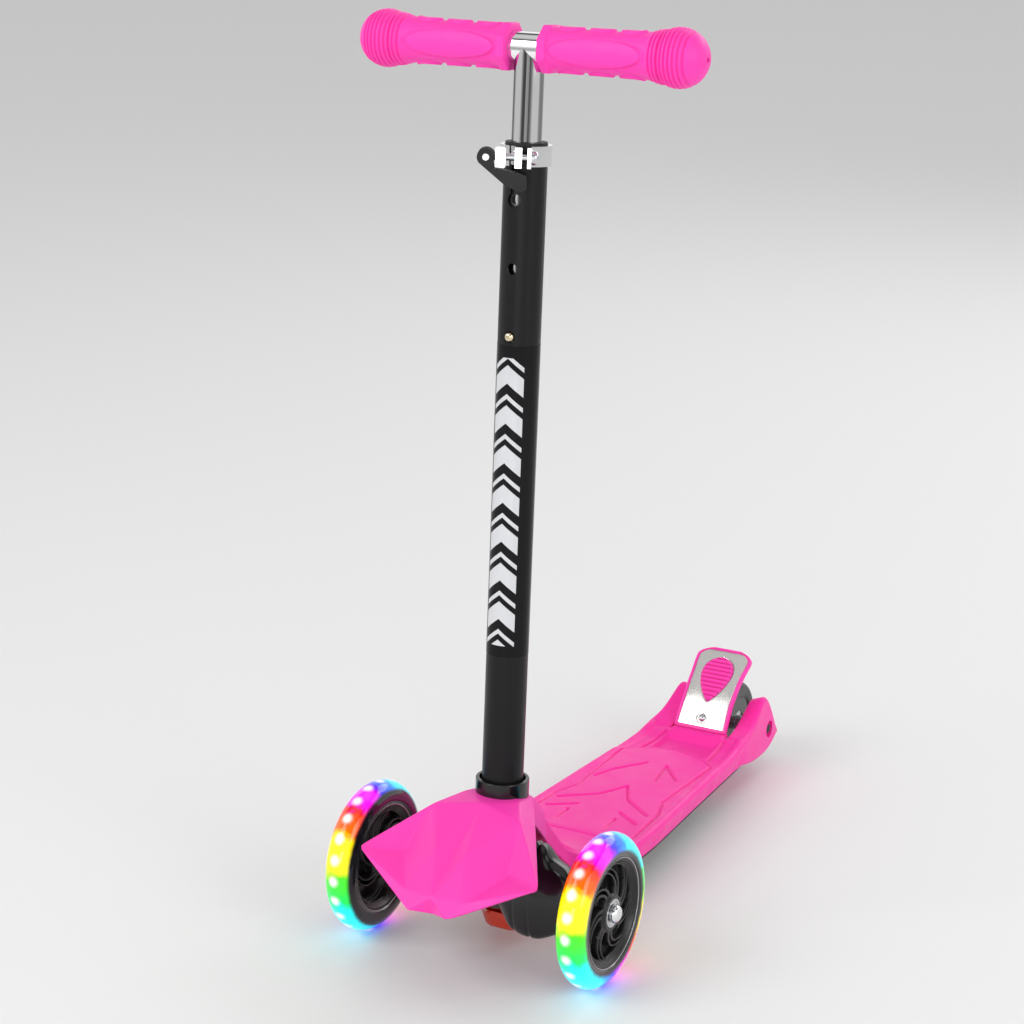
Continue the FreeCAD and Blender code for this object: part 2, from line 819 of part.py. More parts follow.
rear_half = "Dim.tyre_width / 2"
rear_tyre = turned("RearTyre", [
    ("Dim.rear_rim_radius + 0.1", f"-{rear_half}"),
    ("Dim.rear_radius", f"-{rear_half}"),
    ("Dim.rear_radius", rear_half),
    ("Dim.rear_rim_radius + 0.1", rear_half),
], rounds=((1, "9"), (2, "9")))
keep("rear_tyre", rear_tyre, REAR_WHEEL)

rear_hub = turned("RearHub", [
    ("Dim.bearing_radius - 2", "-Dim.bearing_gap / 2"),
    ("Dim.bearing_radius + 0.02", "-Dim.bearing_gap / 2"),
    ("Dim.bearing_radius + 0.02", "-Dim.hub_half_width"),
    ("Dim.rear_rim_radius", "-Dim.hub_half_width"),
    ("Dim.rear_rim_radius", "Dim.hub_half_width"),
    ("Dim.bearing_radius + 0.02", "Dim.hub_half_width"),
    ("Dim.bearing_radius + 0.02", "Dim.bearing_gap / 2"),
    ("Dim.bearing_radius - 2", "Dim.bearing_gap / 2"),
])
keep("rear_hub", rear_hub, REAR_WHEEL)
keep("rear_bearings", bearing_pair("RearBearing"), REAR_WHEEL)


def rear_spacers():
    """Spacer sleeves between the fork's cheeks and the rear bearings."""
    gap = "Dim.rear_cheek_inner - 0.02 - (Dim.bearing_gap / 2 + Dim.bearing_width + 0.3)"
    low = "Dim.bearing_gap / 2 + Dim.bearing_width + 0.3"
    return group([
        tube("7", "Dim.bearing_bore", gap, base_z=low),
        tube("7", "Dim.bearing_bore", gap, base_z="-Dim.rear_cheek_inner + 0.02"),
    ])


keep("rear_spacers", rear_spacers(), REAR_WHEEL)

axle_head = "5.5"
axle_head_seat = "-Dim.rear_cheek_outer + 3"
axle_head_top = "-Dim.rear_cheek_outer - 0.6"
rear_axle = turned("RearAxle", [
    ("0", axle_head_seat),
    ("0", axle_head_top),
    (axle_head, axle_head_top),
    (axle_head, axle_head_seat),
    ("Dim.axle_radius", axle_head_seat),
    ("Dim.axle_radius", "Dim.rear_cheek_outer - 0.4"),
    ("0", "Dim.rear_cheek_outer - 0.4"),
])


# ---------------------------------------------------------------- brake

def along_brake(start, end, low, high, half, corner=0.0):
    """A slab along the brake's slope, between two distances from its pin."""
    slab = Part.makeBox(2 * half, end - start, high - low, Vector(-half, start, low))
    if corner:
        upright = [
            edge for edge in slab.Edges
            if abs(edge.Length - (high - low)) < 1e-6 and edge.CenterOfMass.y > end - 1e-6
        ]
        slab = slab.makeFillet(corner, upright)
    return slab


def brake_carrier():
    """Pink brake lever with its hinge barrel, a pocket for the plate and a foot pad window."""
    half = size("brake_half_width")
    end = size("brake_length")
    body = along_brake(2, end, 1.5, 6.0, half, corner=14)
    barrel = Part.makeCylinder(4.6, 2 * half, Vector(-half, 0, 0), X_AXIS)
    web = Part.makeBox(2 * half, 8, 6, Vector(-half, 0, -2))
    whole = body.fuse([barrel, web])
    pocket = along_brake(7, end - 2.5, 5.0, 9, half - 2.2, corner=12)
    spring_room = Part.makeBox(18, 15, 10.7, Vector(-9, -6, -6.5))
    pin_hole = Part.makeCylinder(2.05, 80, Vector(-40, 0, 0), X_AXIS)
    rivet_hole = Part.makeCylinder(1.5, 10, Vector(0, 12, 0))
    return whole.cut([pocket, spring_room, pin_hole, rivet_hole])


def brake_plate():
    """Polished steel plate let into the carrier, with a window for the foot pad."""
    half = size("brake_half_width") - 2.4
    end = size("brake_length") - 2.7
    plate = along_brake(7.2, end, 5.05, 6.6, half, corner=11.8)
    rivet_hole = Part.makeCylinder(1.5, 10, Vector(0, 12, 0))
    return plate.cut([pad_outline(0.3, 0, 12), rivet_hole])


def pad_outline(grow, low, high):
    """Egg-shaped outline of the foot pad, wide at the top and pointed below."""
    start = size("brake_length") * 0.33
    end = size("brake_length") * 0.875
    wide = size("brake_pad_half") + grow
    shoulder = end - wide
    waist = (start + shoulder) / 2 - 2
    tip = Vector(0, start - grow, low)
    left = Vector(-wide, shoulder, low)
    top = Vector(0, end + grow, low)
    right = Vector(wide, shoulder, low)
    lower_left = Vector(-wide * 0.72, waist, low)
    lower_right = Vector(wide * 0.72, waist, low)
    edges = [
        Part.Arc(tip, lower_left, left).toShape(),
        Part.Arc(left, top, right).toShape(),
        Part.Arc(right, lower_right, tip).toShape(),
    ]
    return Part.Face(Part.Wire(edges)).extrude(Vector(0, 0, high - low))


def brake_pad():
    """Ribbed foot pad that stands up through the plate."""
    pad = pad_outline(0, 5.02, 7.0)
    rib_start = size("brake_length") * 0.39
    rib_count = 9
    rib_pitch = 4.4
    ribs = [
        Part.makeBox(32, 2.0, 0.7, Vector(-16, rib_start + rib_pitch * k, 6.9)) for k in range(rib_count)
    ]
    grip = Part.makeCompound(ribs).common(pad_outline(-1.0, 6, 9))
    return pad.fuse(grip)


keep("brake_carrier", shape_of("BrakeCarrier", brake_carrier()), BRAKE)
keep("brake_plate", shape_of("BrakePlate", brake_plate()), BRAKE)
keep("brake_pad", shape_of("BrakePad", brake_pad()), BRAKE)

rivet = turned("Rivet", [
    ("0", "1.8"),
    ("1.45", "1.8"),
    ("1.45", "6.65"),
    ("3.4", "6.65"),
    ("3.4", "8.4"),
    ("0", "8.4"),
], rounds=((4, "1.5"),))
keep("brake_rivet", rivet, BRAKE * Placement(Vector(0, 12, 0), Rotation()))

brake_pin = cylinder("2", "2 * Dim.rear_cheek_inner + 11", Vector(-size("rear_cheek_inner") - 5.5, 0, 0),
                     Rotation(Y_AXIS, 90))
keep("brake_pin", group([brake_pin]), BRAKE)


def brake_spring():
    """Close-wound torsion spring round the brake's pin, with a leg under the brake's web."""
    wire = 1.0
    turns = 8
    inner = 2.7
    coils = []
    for k in range(turns):
        centre = Vector((k - (turns - 1) / 2) * wire * 0.96, 0, 0)
        coils.append(Part.makeTorus(inner + wire / 2, wire / 2, centre, X_AXIS))
    leg = Part.makeCylinder(wire / 2, 7.5, Vector(wire * (turns - 1) / 2 * 0.96, 0, inner + wire / 2), Y_AXIS)
    coil = coils[0].fuse(coils[1:] + [leg])
    return coil


keep("brake_spring", shape_of("BrakeSpring", brake_spring()), BRAKE)


# ---------------------------------------------------------------- stem

def stem_tube():
    """Outer tube with its catch holes and the clamp's key-shaped slot, all on the front."""
    low = size("catch_low")
    pitch = size("catch_pitch")
    top = size("stem_top")
    bottom = size("stem_bottom")
    wall = Part.makeCylinder(size("stem_outer_radius"), top + bottom, Vector(0, 0, -bottom))
    wall = wall.cut(Part.makeCylinder(size("stem_inner_radius"), top + bottom, Vector(0, 0, -bottom)))
    tools = []
    for height in (low, low + pitch):
        tools.append(Part.makeCylinder(size("catch_hole_radius"), 30, Vector(0, 0, height), -Y_AXIS))
    key = low + 2 * pitch
    tools.append(Part.makeCylinder(size("key_hole_radius"), 30, Vector(0, 0, key), -Y_AXIS))
    width = size("slot_width")
    tools.append(Part.makeBox(width, 30, 60, Vector(-width / 2, -30, key)))
    bolt_start = Vector(-30, 0, size("stem_bolt_height"))
    tools.append(Part.makeCylinder(size("stem_bolt_radius"), 60, bolt_start, X_AXIS))
    return wall.cut(tools)


def stem_bush():
    """Plastic bush in the stem's mouth that guides the T-bar's post."""
    low = size("catch_low") + 2 * size("catch_pitch") - 22
    top = size("stem_top")
    inner = size("bar_radius") + 0.06
    sleeve = Part.makeCylinder(size("stem_inner_radius") - 0.05, top - low, Vector(0, 0, low))
    flange = Part.makeCylinder(size("stem_outer_radius") - 0.6, 2.4, Vector(0, 0, top))
    bush = sleeve.fuse(flange)
    bush = bush.cut(Part.makeCylinder(inner, top - low + 10, Vector(0, 0, low - 1)))
    catch = Part.makeCylinder(size("catch_hole_radius"), 30, Vector(0, 0, low + 22), -Y_AXIS)
    return bush.cut(catch)


keep("stem_tube", shape_of("StemTube", stem_tube()), STEM)
keep("stem_bush", shape_of("StemBush", stem_bush()), STEM)

collar = turned("Collar", [
    ("Dim.stem_outer_radius + 0.1", "-18.5"),
    ("Dim.collar_outer_radius", "-18.5"),
    ("Dim.collar_outer_radius", "0"),
    ("Dim.collar_inner_radius", "0"),
    ("Dim.collar_inner_radius", "-7"),
    ("Dim.stem_outer_radius + 0.1", "-7"),
], rounds=((2, "0.8"),))
keep("stem_collar", collar, STEM)


# ---------------------------------------------------------------- quick-release clamp

def clamp_band():
    """Split steel band with two ears, forward of the stem."""
    tall = size("clamp_tall")
    inner = size("stem_outer_radius") + 0.05
    reach = size("clamp_bolt_reach")
    band = Part.makeCylinder(size("band_radius"), tall, Vector(0, 0, -tall / 2))
    left_ear = Part.makeBox(5, reach + 5 - 15, tall, Vector(-7, -reach - 5, -tall / 2))
    right_ear = Part.makeBox(2.6, reach + 5 - 15, tall, Vector(2, -reach - 5, -tall / 2))
    band = band.fuse([left_ear, right_ear])
    gap = Part.makeBox(4, 40, tall, Vector(-2, -45, -tall / 2))
    bore = Part.makeCylinder(inner, tall, Vector(0, 0, -tall / 2))
    bolt = Part.makeCylinder(2.6, 60, Vector(-30, -reach, 0), X_AXIS)
    return band.cut([gap, bore, bolt])


keep("clamp_band", shape_of("ClampBand", clamp_band()), CLAMP)


def clamp_bolt():
    """Bolt through the band's ears, ending in the eye that the lever's pin crosses."""
    reach = size("clamp_bolt_reach")
    across = size("lever_pin_across")
    shank = Part.makeCylinder(2.5, across + 8.3, Vector(-across, -reach, 0), X_AXIS)
    eye = Part.makeCylinder(4.4, 4.6, Vector(-across, -reach - 2.3, 0), Y_AXIS)
    hole = Part.makeCylinder(size("lever_pin_radius") - 0.6, 20, Vector(-across, -reach - 10, 0), Y_AXIS)
    return shank.fuse(eye).cut(hole)


def clamp_nut():
    """Domed nut on the bolt's far end."""
    reach = size("clamp_bolt_reach")
    nut = Part.makeCylinder(5, 5.2, Vector(4.65, -reach, 0), X_AXIS)
    far = [edge for edge in nut.Edges if edge.CenterOfMass.x > 9]
    nut = nut.makeFillet(3.2, far)
    return nut.cut(Part.makeCylinder(2.5, 4.4, Vector(4, -reach, 0), X_AXIS))


def clamp_saddle():
    """Block between the lever's cam and the band's near ear."""
    reach = size("clamp_bolt_reach")
    tall = size("clamp_tall")
    saddle = Part.makeBox(7, 10, tall - 1, Vector(-20.8, -reach - 5, -(tall - 1) / 2))
    hole = Part.makeCylinder(2.6, 30, Vector(-30, -reach, 0), X_AXIS)
    return saddle.cut(hole)


def lever_pin():
    """Short pin through the lever's head and the bolt's eye."""
    reach = size("clamp_bolt_reach")
    return Part.makeCylinder(
        size("lever_pin_radius") - 0.65, 13.5, Vector(-size("lever_pin_across"), -reach - 6.75, 0), Y_AXIS
    )


def clamp_lever():
    """Cam lever: a round forked head, and an arm that lies across the front of the stem."""
    reach = size("clamp_bolt_reach")
    radius = size("lever_head_radius")
    centre = Vector(-size("lever_pin_across"), -reach, 0)
    depth = 12.0
    head = Part.makeCylinder(radius, depth, centre - Vector(0, depth / 2, 0), Y_AXIS)
    profile = [
        Vector(-31.0, -reach - depth / 2, -5.6), Vector(-22.4, -reach - depth / 2, -3.6),
        Vector(-21.6, -reach - depth / 2, -8.2), Vector(-4.0, -reach - depth / 2, -10.4),
        Vector(1.5, -reach - depth / 2, -12.4), Vector(2.0, -reach - depth / 2, -22.0),
        Vector(-2.0, -reach - depth / 2, -24.5), Vector(-13.5, -reach - depth / 2, -19.6),
    ]
    arm = polygon_face(profile).extrude(Vector(0, depth, 0))
    lever = head.fuse(arm).removeSplitter()
    fork_gap = Part.makeCylinder(radius + 3, 5.6, centre - Vector(0, 2.8, 0), Y_AXIS)
    hole = Part.makeCylinder(size("lever_pin_radius") - 0.6, 40, centre - Vector(0, 20, 0), Y_AXIS)
    return lever.cut([fork_gap, hole])


keep("clamp_bolt", shape_of("ClampBolt", clamp_bolt()), CLAMP)
keep("clamp_nut", shape_of("ClampNut", clamp_nut()), CLAMP)
keep("clamp_saddle", shape_of("ClampSaddle", clamp_saddle()), CLAMP)
keep("lever_pin", shape_of("LeverPin", lever_pin()), CLAMP)
keep("clamp_lever", shape_of("ClampLever", clamp_lever()), CLAMP)


# ---------------------------------------------------------------- T-bar

def t_bar():
    """Chromed post and crossbar, welded into one piece."""
    radius = size("bar_radius")
    inner = radius - size("bar_wall")
    top = size("crossbar_height")
    foot = size("catch_low") - 60
    half = size("grip_ball_centre") + 8
    post = Part.makeCylinder(radius, top - foot, Vector(0, 0, foot))
    cross = Part.makeCylinder(radius, 2 * half, Vector(-half, 0, top), X_AXIS)
    bar = post.fuse(cross)
    bar = bar.cut(Part.makeCylinder(inner, top - foot - 5, Vector(0, 0, foot)))
    bar = bar.cut(Part.makeCylinder(inner, 2 * half, Vector(-half, 0, top), X_AXIS))
    catch = Part.makeCylinder(4.05, 30, Vector(0, 0, size("catch_low")), -Y_AXIS)
    return bar.cut(catch)


keep("t_bar", shape_of("TBar", t_bar()), STEM)

foot_sleeve = tube("Dim.stem_inner_radius - 0.08", "Dim.bar_radius + 0.03", "26",
                   base_z="Dim.catch_low - 58")
keep("post_sleeve", foot_sleeve, STEM)


def snap_button():
    """Sprung catch button: a domed peg on a small disc inside the post."""
    peg = Part.makeCylinder(3.55, 11, Vector(0, -7.0, 0), -Y_AXIS)
    dome = [edge for edge in peg.Edges if edge.CenterOfMass.y < -17]
    peg = peg.makeFillet(2.6, dome)
    disc = Part.makeCylinder(5.0, 1.4, Vector(0, -7.1, 0), Y_AXIS)
    return peg.fuse(disc)


def snap_spring():
    """V-shaped leaf spring that pushes the button outward."""
    strip = 6.0
    outer = [
        Vector(-strip / 2, -5.5, 4), Vector(-strip / 2, -5.5, -4), Vector(-strip / 2, 0.5, -38),
        Vector(-strip / 2, 7.5, 0), Vector(-strip / 2, 7.0, 0), Vector(-strip / 2, 0.5, -36),
        Vector(-strip / 2, -5.0, -4), Vector(-strip / 2, -5.0, 4),
    ]
    return polygon_face(outer).extrude(Vector(strip, 0, 0))


CATCH = STEM * Placement(Vector(0, 0, size("catch_low")), Rotation())
keep("snap_button", shape_of("SnapButton", snap_button()), CATCH)
keep("snap_spring", shape_of("SnapSpring", snap_spring()), CATCH)


def grip(name):
    """Soft grip: eight-sided flange, straight body with raised pads, and a ball end."""
    flange = doc.addObject("Part::Prism", name + "_flange")
    flange.Polygon = 8
    bind(flange, Circumradius="Dim.flange_radius", Height="7")
    flange.Placement = Placement(Vector(0, 0, size("grip_start")), Rotation(Z_AXIS, 22.5))
    body = cylinder("Dim.grip_radius", "Dim.grip_body_end - Dim.grip_start", base_z="Dim.grip_start")
    ball = doc.addObject("Part::Sphere", name + "_ball")
    bind(ball, Radius="Dim.grip_ball_radius")
    ball.setExpression("Placement.Base.z", "Dim.grip_ball_centre")
    solid = fuse([flange, body, ball])
    bore = cylinder("Dim.bar_radius + 0.05", "Dim.grip_ball_centre + 11", base_z="Dim.grip_start - 15")
    vent = cylinder("1.6", "60", base_z="Dim.grip_ball_centre")
    return cut_all(solid, [bore, vent])


for side_name, side in SIDES:
    keep(f"grip_{side_name}", grip(f"Grip_{side_name}"), crossbar_place(side))

keep("deck_screws", deck_screws())
keep("rear_axle", rear_axle, REAR_WHEEL)


# ---------------------------------------------------------------- check and write

doc.recompute()

for item in doc.Objects:
    bad = [state for state in item.State if state in ("Invalid", "Error")]
    if bad:
        raise RuntimeError(f"{item.Label} ({item.Name}) did not build: {bad}")

for label, piece in nodes.items():
    if piece.Shape.isNull() or not piece.Shape.isValid():
        raise RuntimeError(f"{label} has no valid shape")
    if piece.Shape.Volume <= 0:
        raise RuntimeError(f"{label} has no volume")

os.makedirs("parts", exist_ok=True)
box = FreeCAD.BoundBox()
for label, piece in nodes.items():
    box.add(piece.Shape.BoundBox)
    piece.Shape.exportStep(os.path.join("parts", label + ".step"))
    print(f"{label:26s} {len(piece.Shape.Solids):2d} solid(s) {piece.Shape.Volume / 1000:9.2f} cm3")
print(len(nodes), "nodes, box", box)
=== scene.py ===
"""Looks of a three-wheel, lean-to-steer kick scooter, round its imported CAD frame.

Everything is in the frame's metres, +Z up, front at -Y. Outlines are written in millimetres, mostly as
(back from the front axle, height), and scaled by MM where they become meshes.
"""
import bpy
import bmesh
import math
import numpy as np
from mathutils import Matrix, Vector


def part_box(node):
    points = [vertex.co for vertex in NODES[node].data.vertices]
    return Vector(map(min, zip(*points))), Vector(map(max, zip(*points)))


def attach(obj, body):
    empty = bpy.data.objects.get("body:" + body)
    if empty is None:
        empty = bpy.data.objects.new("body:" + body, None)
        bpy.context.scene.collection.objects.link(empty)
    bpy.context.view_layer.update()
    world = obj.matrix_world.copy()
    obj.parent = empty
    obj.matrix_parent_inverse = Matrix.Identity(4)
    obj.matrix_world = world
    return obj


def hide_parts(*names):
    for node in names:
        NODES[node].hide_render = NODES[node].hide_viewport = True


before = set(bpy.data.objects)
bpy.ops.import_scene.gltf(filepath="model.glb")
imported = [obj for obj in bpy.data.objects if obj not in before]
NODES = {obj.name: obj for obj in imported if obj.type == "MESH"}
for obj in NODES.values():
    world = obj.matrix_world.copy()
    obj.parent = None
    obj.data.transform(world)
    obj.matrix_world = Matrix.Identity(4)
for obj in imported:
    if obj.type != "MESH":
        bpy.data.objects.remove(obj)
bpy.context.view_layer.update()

MM = 0.001
TAU = 2 * math.pi


def middle(name):
    """Centre of a CAD node's box."""
    low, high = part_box(name)
    return (low + high) / 2


FRONT_Y = middle("hub_left").y
STEM_RAKE = 2.46


def standing(back, height, slope=0.0):
    """A place on the middle plane, in millimetres behind the front axle and up from the floor, tipped."""
    place = Matrix.Translation((0, FRONT_Y + back * MM, height * MM))
    return place @ Matrix.Rotation(math.radians(slope), 4, "X")


DECK = standing(0, 0)
STEM = standing(26.2, 137.7, -STEM_RAKE)
PIVOT = standing(10, 60, 45)
BRAKE = standing(404, 45.5, 45)
REAR = Matrix.Translation(middle("rear_tyre"))


# ---- materials

def node(tree, kind, **values):
    """A shader node with its properties and unlinked sockets set."""
    made = tree.nodes.new("ShaderNode" + kind)
    for key, value in values.items():
        if key in made.inputs:
            made.inputs[key].default_value = value
        else:
            setattr(made, key, value)
    return made


def feed(value, socket):
    """Sets a socket from a worked value, another socket, a number or a colour."""
    if isinstance(value, Value):
        value = value.socket
    if isinstance(value, bpy.types.NodeSocket):
        socket.id_data.links.new(value, socket)
    elif isinstance(value, tuple):
        socket.default_value = (*value, 1)
    else:
        socket.default_value = value


class Value:
    """A number that varies over a surface; arithmetic with it adds Math nodes."""

    def __init__(self, socket):
        self.socket = socket

    def worked(self, operation, *others):
        """This value, and any others, put through a Math node."""
        made = node(self.socket.id_data, "Math", operation=operation)
        for value, socket in zip((self, *others), made.inputs):
            feed(value, socket)
        return Value(made.outputs[0])

    def __add__(self, other):
        return self.worked("ADD", other)

    def __sub__(self, other):
        return self.worked("SUBTRACT", other)

    def __mul__(self, other):
        return self.worked("MULTIPLY", other)

    def __truediv__(self, other):
        return self.worked("DIVIDE", other)


def length_of(first, second):
    """The length of a flat vector given by two values."""
    return (first * first + second * second).worked("SQRT")


def parts_of(vector):
    """The x, y and z of a vector socket."""
    made = node(vector.id_data, "SeparateXYZ")
    feed(vector, made.inputs[0])
    return [Value(socket) for socket in made.outputs]


def ramp(value, stops):
    """A colour that follows (position, colour or grey tone) stops along a value."""
    made = node(value.socket.id_data, "ValToRGB")
    elements = made.color_ramp.elements
    while len(elements) > 1:
        elements.remove(elements[-1])
    for k, (position, colour) in enumerate(stops):
        stop = elements.new(position) if k else elements[0]
        stop.position = position
        stop.color = (*colour, 1) if isinstance(colour, tuple) else (colour, colour, colour, 1)
    feed(value, made.inputs[0])
    return made.outputs[0]


def fade(value, start, end, low, high):
    """A smooth change from low to high while the value goes from start to end."""
    made = node(value.socket.id_data, "MapRange", interpolation_type="SMOOTHSTEP")
    for number, socket in zip((value, start, end, low, high), made.inputs):
        feed(number, socket)
    return Value(made.outputs[0])


def mixed(share, first, second, blend="MIX"):
    """A mix of two colours by a share between 0 and 1."""
    made = node(share.socket.id_data, "Mix", data_type="RGBA", blend_type=blend)
    for value, place in ((share, 0), (first, 6), (second, 7)):
        feed(value, made.inputs[place])
    return made.outputs[2]


def noise(coord, scale, detail=3, stretch=None):
    """A noise value between 0 and 1 in object space."""
    tree = coord.id_data
    made = node(tree, "TexNoise", Scale=scale, Detail=detail)
    if stretch:
        mapping = node(tree, "Mapping", Scale=stretch)
        feed(coord, mapping.inputs[0])
        coord = mapping.outputs[0]
    feed(coord, made.inputs["Vector"])
    return Value(made.outputs["Fac"])


def new_material(name):
    """A material with its node tree and its shader."""
    made = bpy.data.materials.new(name)
    made.use_nodes = True
    return made, made.node_tree, made.node_tree.nodes["Principled BSDF"]


def over(made, share, ink, blend="MIX"):
    """Lays a second colour over a material's own colour where share is 1."""
    base = made.node_tree.nodes["Principled BSDF"].inputs["Base Color"]
    feed(mixed(share, base.links[0].from_socket, ink, blend), base)


def surface(name, colour, rough, metallic=0.0, vary=0.10, patch=14, grain=900, bump=0.05, rough_vary=0.08,
            coat=0.0, coat_rough=0.08, stretch=None, grain_depth=0.00015, gloss=0.5):
    """A plastic, rubber, paint or metal with drifting colour, uneven roughness and a fine moulded grain."""
    made, tree, shader = new_material(name)
    coord = node(tree, "TexCoord").outputs["Object"]
    dark = tuple(c * (1 - vary) for c in colour)
    light = tuple(min(1, c * (1 + vary)) for c in colour)
    feed(ramp(noise(coord, patch), [(0.3, dark), (0.7, light)]), shader.inputs["Base Color"])
    smoothest = max(0.02, rough - rough_vary)
    roughest = min(1, rough + rough_vary)
    feed(ramp(noise(coord, patch * 4), [(0.3, smoothest), (0.7, roughest)]), shader.inputs["Roughness"])
    lift = node(tree, "Bump", Strength=bump, Distance=grain_depth)
    feed(noise(coord, grain, 2, stretch), lift.inputs["Height"])
    feed(lift.outputs[0], shader.inputs["Normal"])
    shader.inputs["Metallic"].default_value = metallic
    shader.inputs["Specular IOR Level"].default_value = gloss
    shader.inputs["Coat Weight"].default_value = coat
    shader.inputs["Coat Roughness"].default_value = coat_rough
    return made


PINK = surface("pink_moulding", (1.0, 0.048, 0.45), 0.42, vary=0.03, bump=0.12, gloss=0.35)
PINK_DECK = surface("pink_deck", (1.0, 0.030, 0.385), 0.38, vary=0.03, bump=0.15, gloss=0.22,
                    coat=0.04, coat_rough=0.12)
PINK_SOFT = surface("pink_soft", (1.0, 0.050, 0.45), 0.50, vary=0.03, bump=0.25, grain=1400, gloss=0.3)
BLACK = surface("black_moulding", (0.005, 0.005, 0.0052), 0.2, vary=0.25, bump=0.1, coat=0.2, gloss=0.4)
BLACK_SATIN = surface("black_satin", (0.006, 0.006, 0.0062), 0.34, vary=0.25, bump=0.15, gloss=0.45)
BLACK_MATTE = surface("black_matte", (0.010, 0.010, 0.011), 0.5, vary=0.2, bump=0.2, gloss=0.35)
PAINT = surface("powder_coat", (0.006, 0.006, 0.0062), 0.36, vary=0.15, bump=0.35, grain=2600,
                rough_vary=0.04, gloss=0.22)
CRADLE = surface("cradle_red", (0.60, 0.035, 0.008), 0.35, vary=0.12, coat=0.2, bump=0.1)
STEEL = surface("zinc_steel", (0.60, 0.61, 0.63), 0.28, metallic=1, vary=0.08, bump=0.2)
BRASS = surface("brass_plating", (0.72, 0.62, 0.42), 0.15, metallic=1, vary=0.08, bump=0.1, rough_vary=0.06)
COPPER = surface("copper_winding", (0.62, 0.25, 0.10), 0.3, metallic=1, vary=0.15, bump=0.6,
                 stretch=(1, 1, 6))
FOOT_PLATE = surface("foot_plate_steel", (0.74, 0.725, 0.70), 0.24, metallic=1, vary=0.05, rough_vary=0.06,
                     bump=0.25, grain=60, stretch=(1, 40, 40), grain_depth=0.0001)
BUFFER = surface("buffer_rubber", (0.03, 0.03, 0.031), 0.7, vary=0.2, bump=0.4)
REAR_RUBBER = surface("rear_tyre_rubber", (0.018, 0.018, 0.019), 0.33, vary=0.2, bump=0.15)
STRIP = surface("lamp_strip", (0.85, 0.86, 0.82), 0.3, vary=0.06, bump=0.1)
RIM_LINE = surface("rim_line", (0.50, 0.50, 0.52), 0.18, metallic=0.6, vary=0.1)


def chrome_material(name, painted_reflection_bands=()):
    """Chrome plating, with optional painted reflections: dark bands up a round tube, as (place round the
    upright, tone) stops.
    """
    made = surface(name, (0.88, 0.88, 0.89), 0.06, metallic=1, vary=0.03, bump=0.02, rough_vary=0.03)
    if painted_reflection_bands:
        across, back, up = parts_of(node(made.node_tree, "TexCoord").outputs["Normal"])
        turn = across.worked("ARCTAN2", back * -1.0)
        upright = up.worked("ABSOLUTE").worked("LESS_THAN", 0.12)
        # painted reflection: the chrome is darkened in bands by the way its surface faces round the upright
        over(made, upright, ramp(turn / TAU + 0.5, painted_reflection_bands), "MULTIPLY")
    return made


CHROME = chrome_material("chrome_plating")
# stops of the painted reflection bands round the upright tube
PAINTED_REFLECTION_CHROME = chrome_material("chrome_with_painted_reflections", (
    (0.0, 0.9), (0.05, 0.12), (0.10, 0.2), (0.14, 1.0), (0.22, 1.0), (0.28, 0.45), (0.34, 0.12),
    (0.40, 0.2), (0.43, 1.0), (0.495, 1.0), (0.515, 0.12), (0.575, 0.07), (0.60, 0.35), (0.62, 1.0),
    (0.685, 1.0), (0.71, 0.38), (0.77, 0.3), (0.80, 1.0), (0.90, 1.0), (0.95, 0.5), (1.0, 0.9)))


RAINBOW = (
    # (place in the cycle, colour): blue, magenta, red, yellow, green, cyan and back to blue
    (0.00, (0.03, 0.02, 1.0)), (0.045, (0.45, 0.0, 1.0)), (0.09, (1.0, 0.02, 0.95)),
    (0.155, (1.0, 0.0, 0.55)), (0.19, (1.0, 0.01, 0.01)), (0.27, (1.0, 0.12, 0.0)),
    (0.33, (1.0, 0.75, 0.0)), (0.44, (0.95, 0.95, 0.0)), (0.49, (0.06, 0.75, 0.0)),
    (0.60, (0.0, 0.80, 0.10)), (0.65, (0.0, 0.85, 0.80)), (0.88, (0.0, 0.75, 1.0)),
    (0.94, (0.0, 0.25, 1.0)), (1.00, (0.03, 0.02, 1.0)),
)
LAMPS = 22
LAMP_CIRCLE = 55.0
LAMP_HALO = 5.8
LAMP_CORE = 0.4
# radii in millimetres over which the painted shade by the hub fades out
HUB_SHADE_INNER = 46.2
HUB_SHADE_OUTER = 51.2


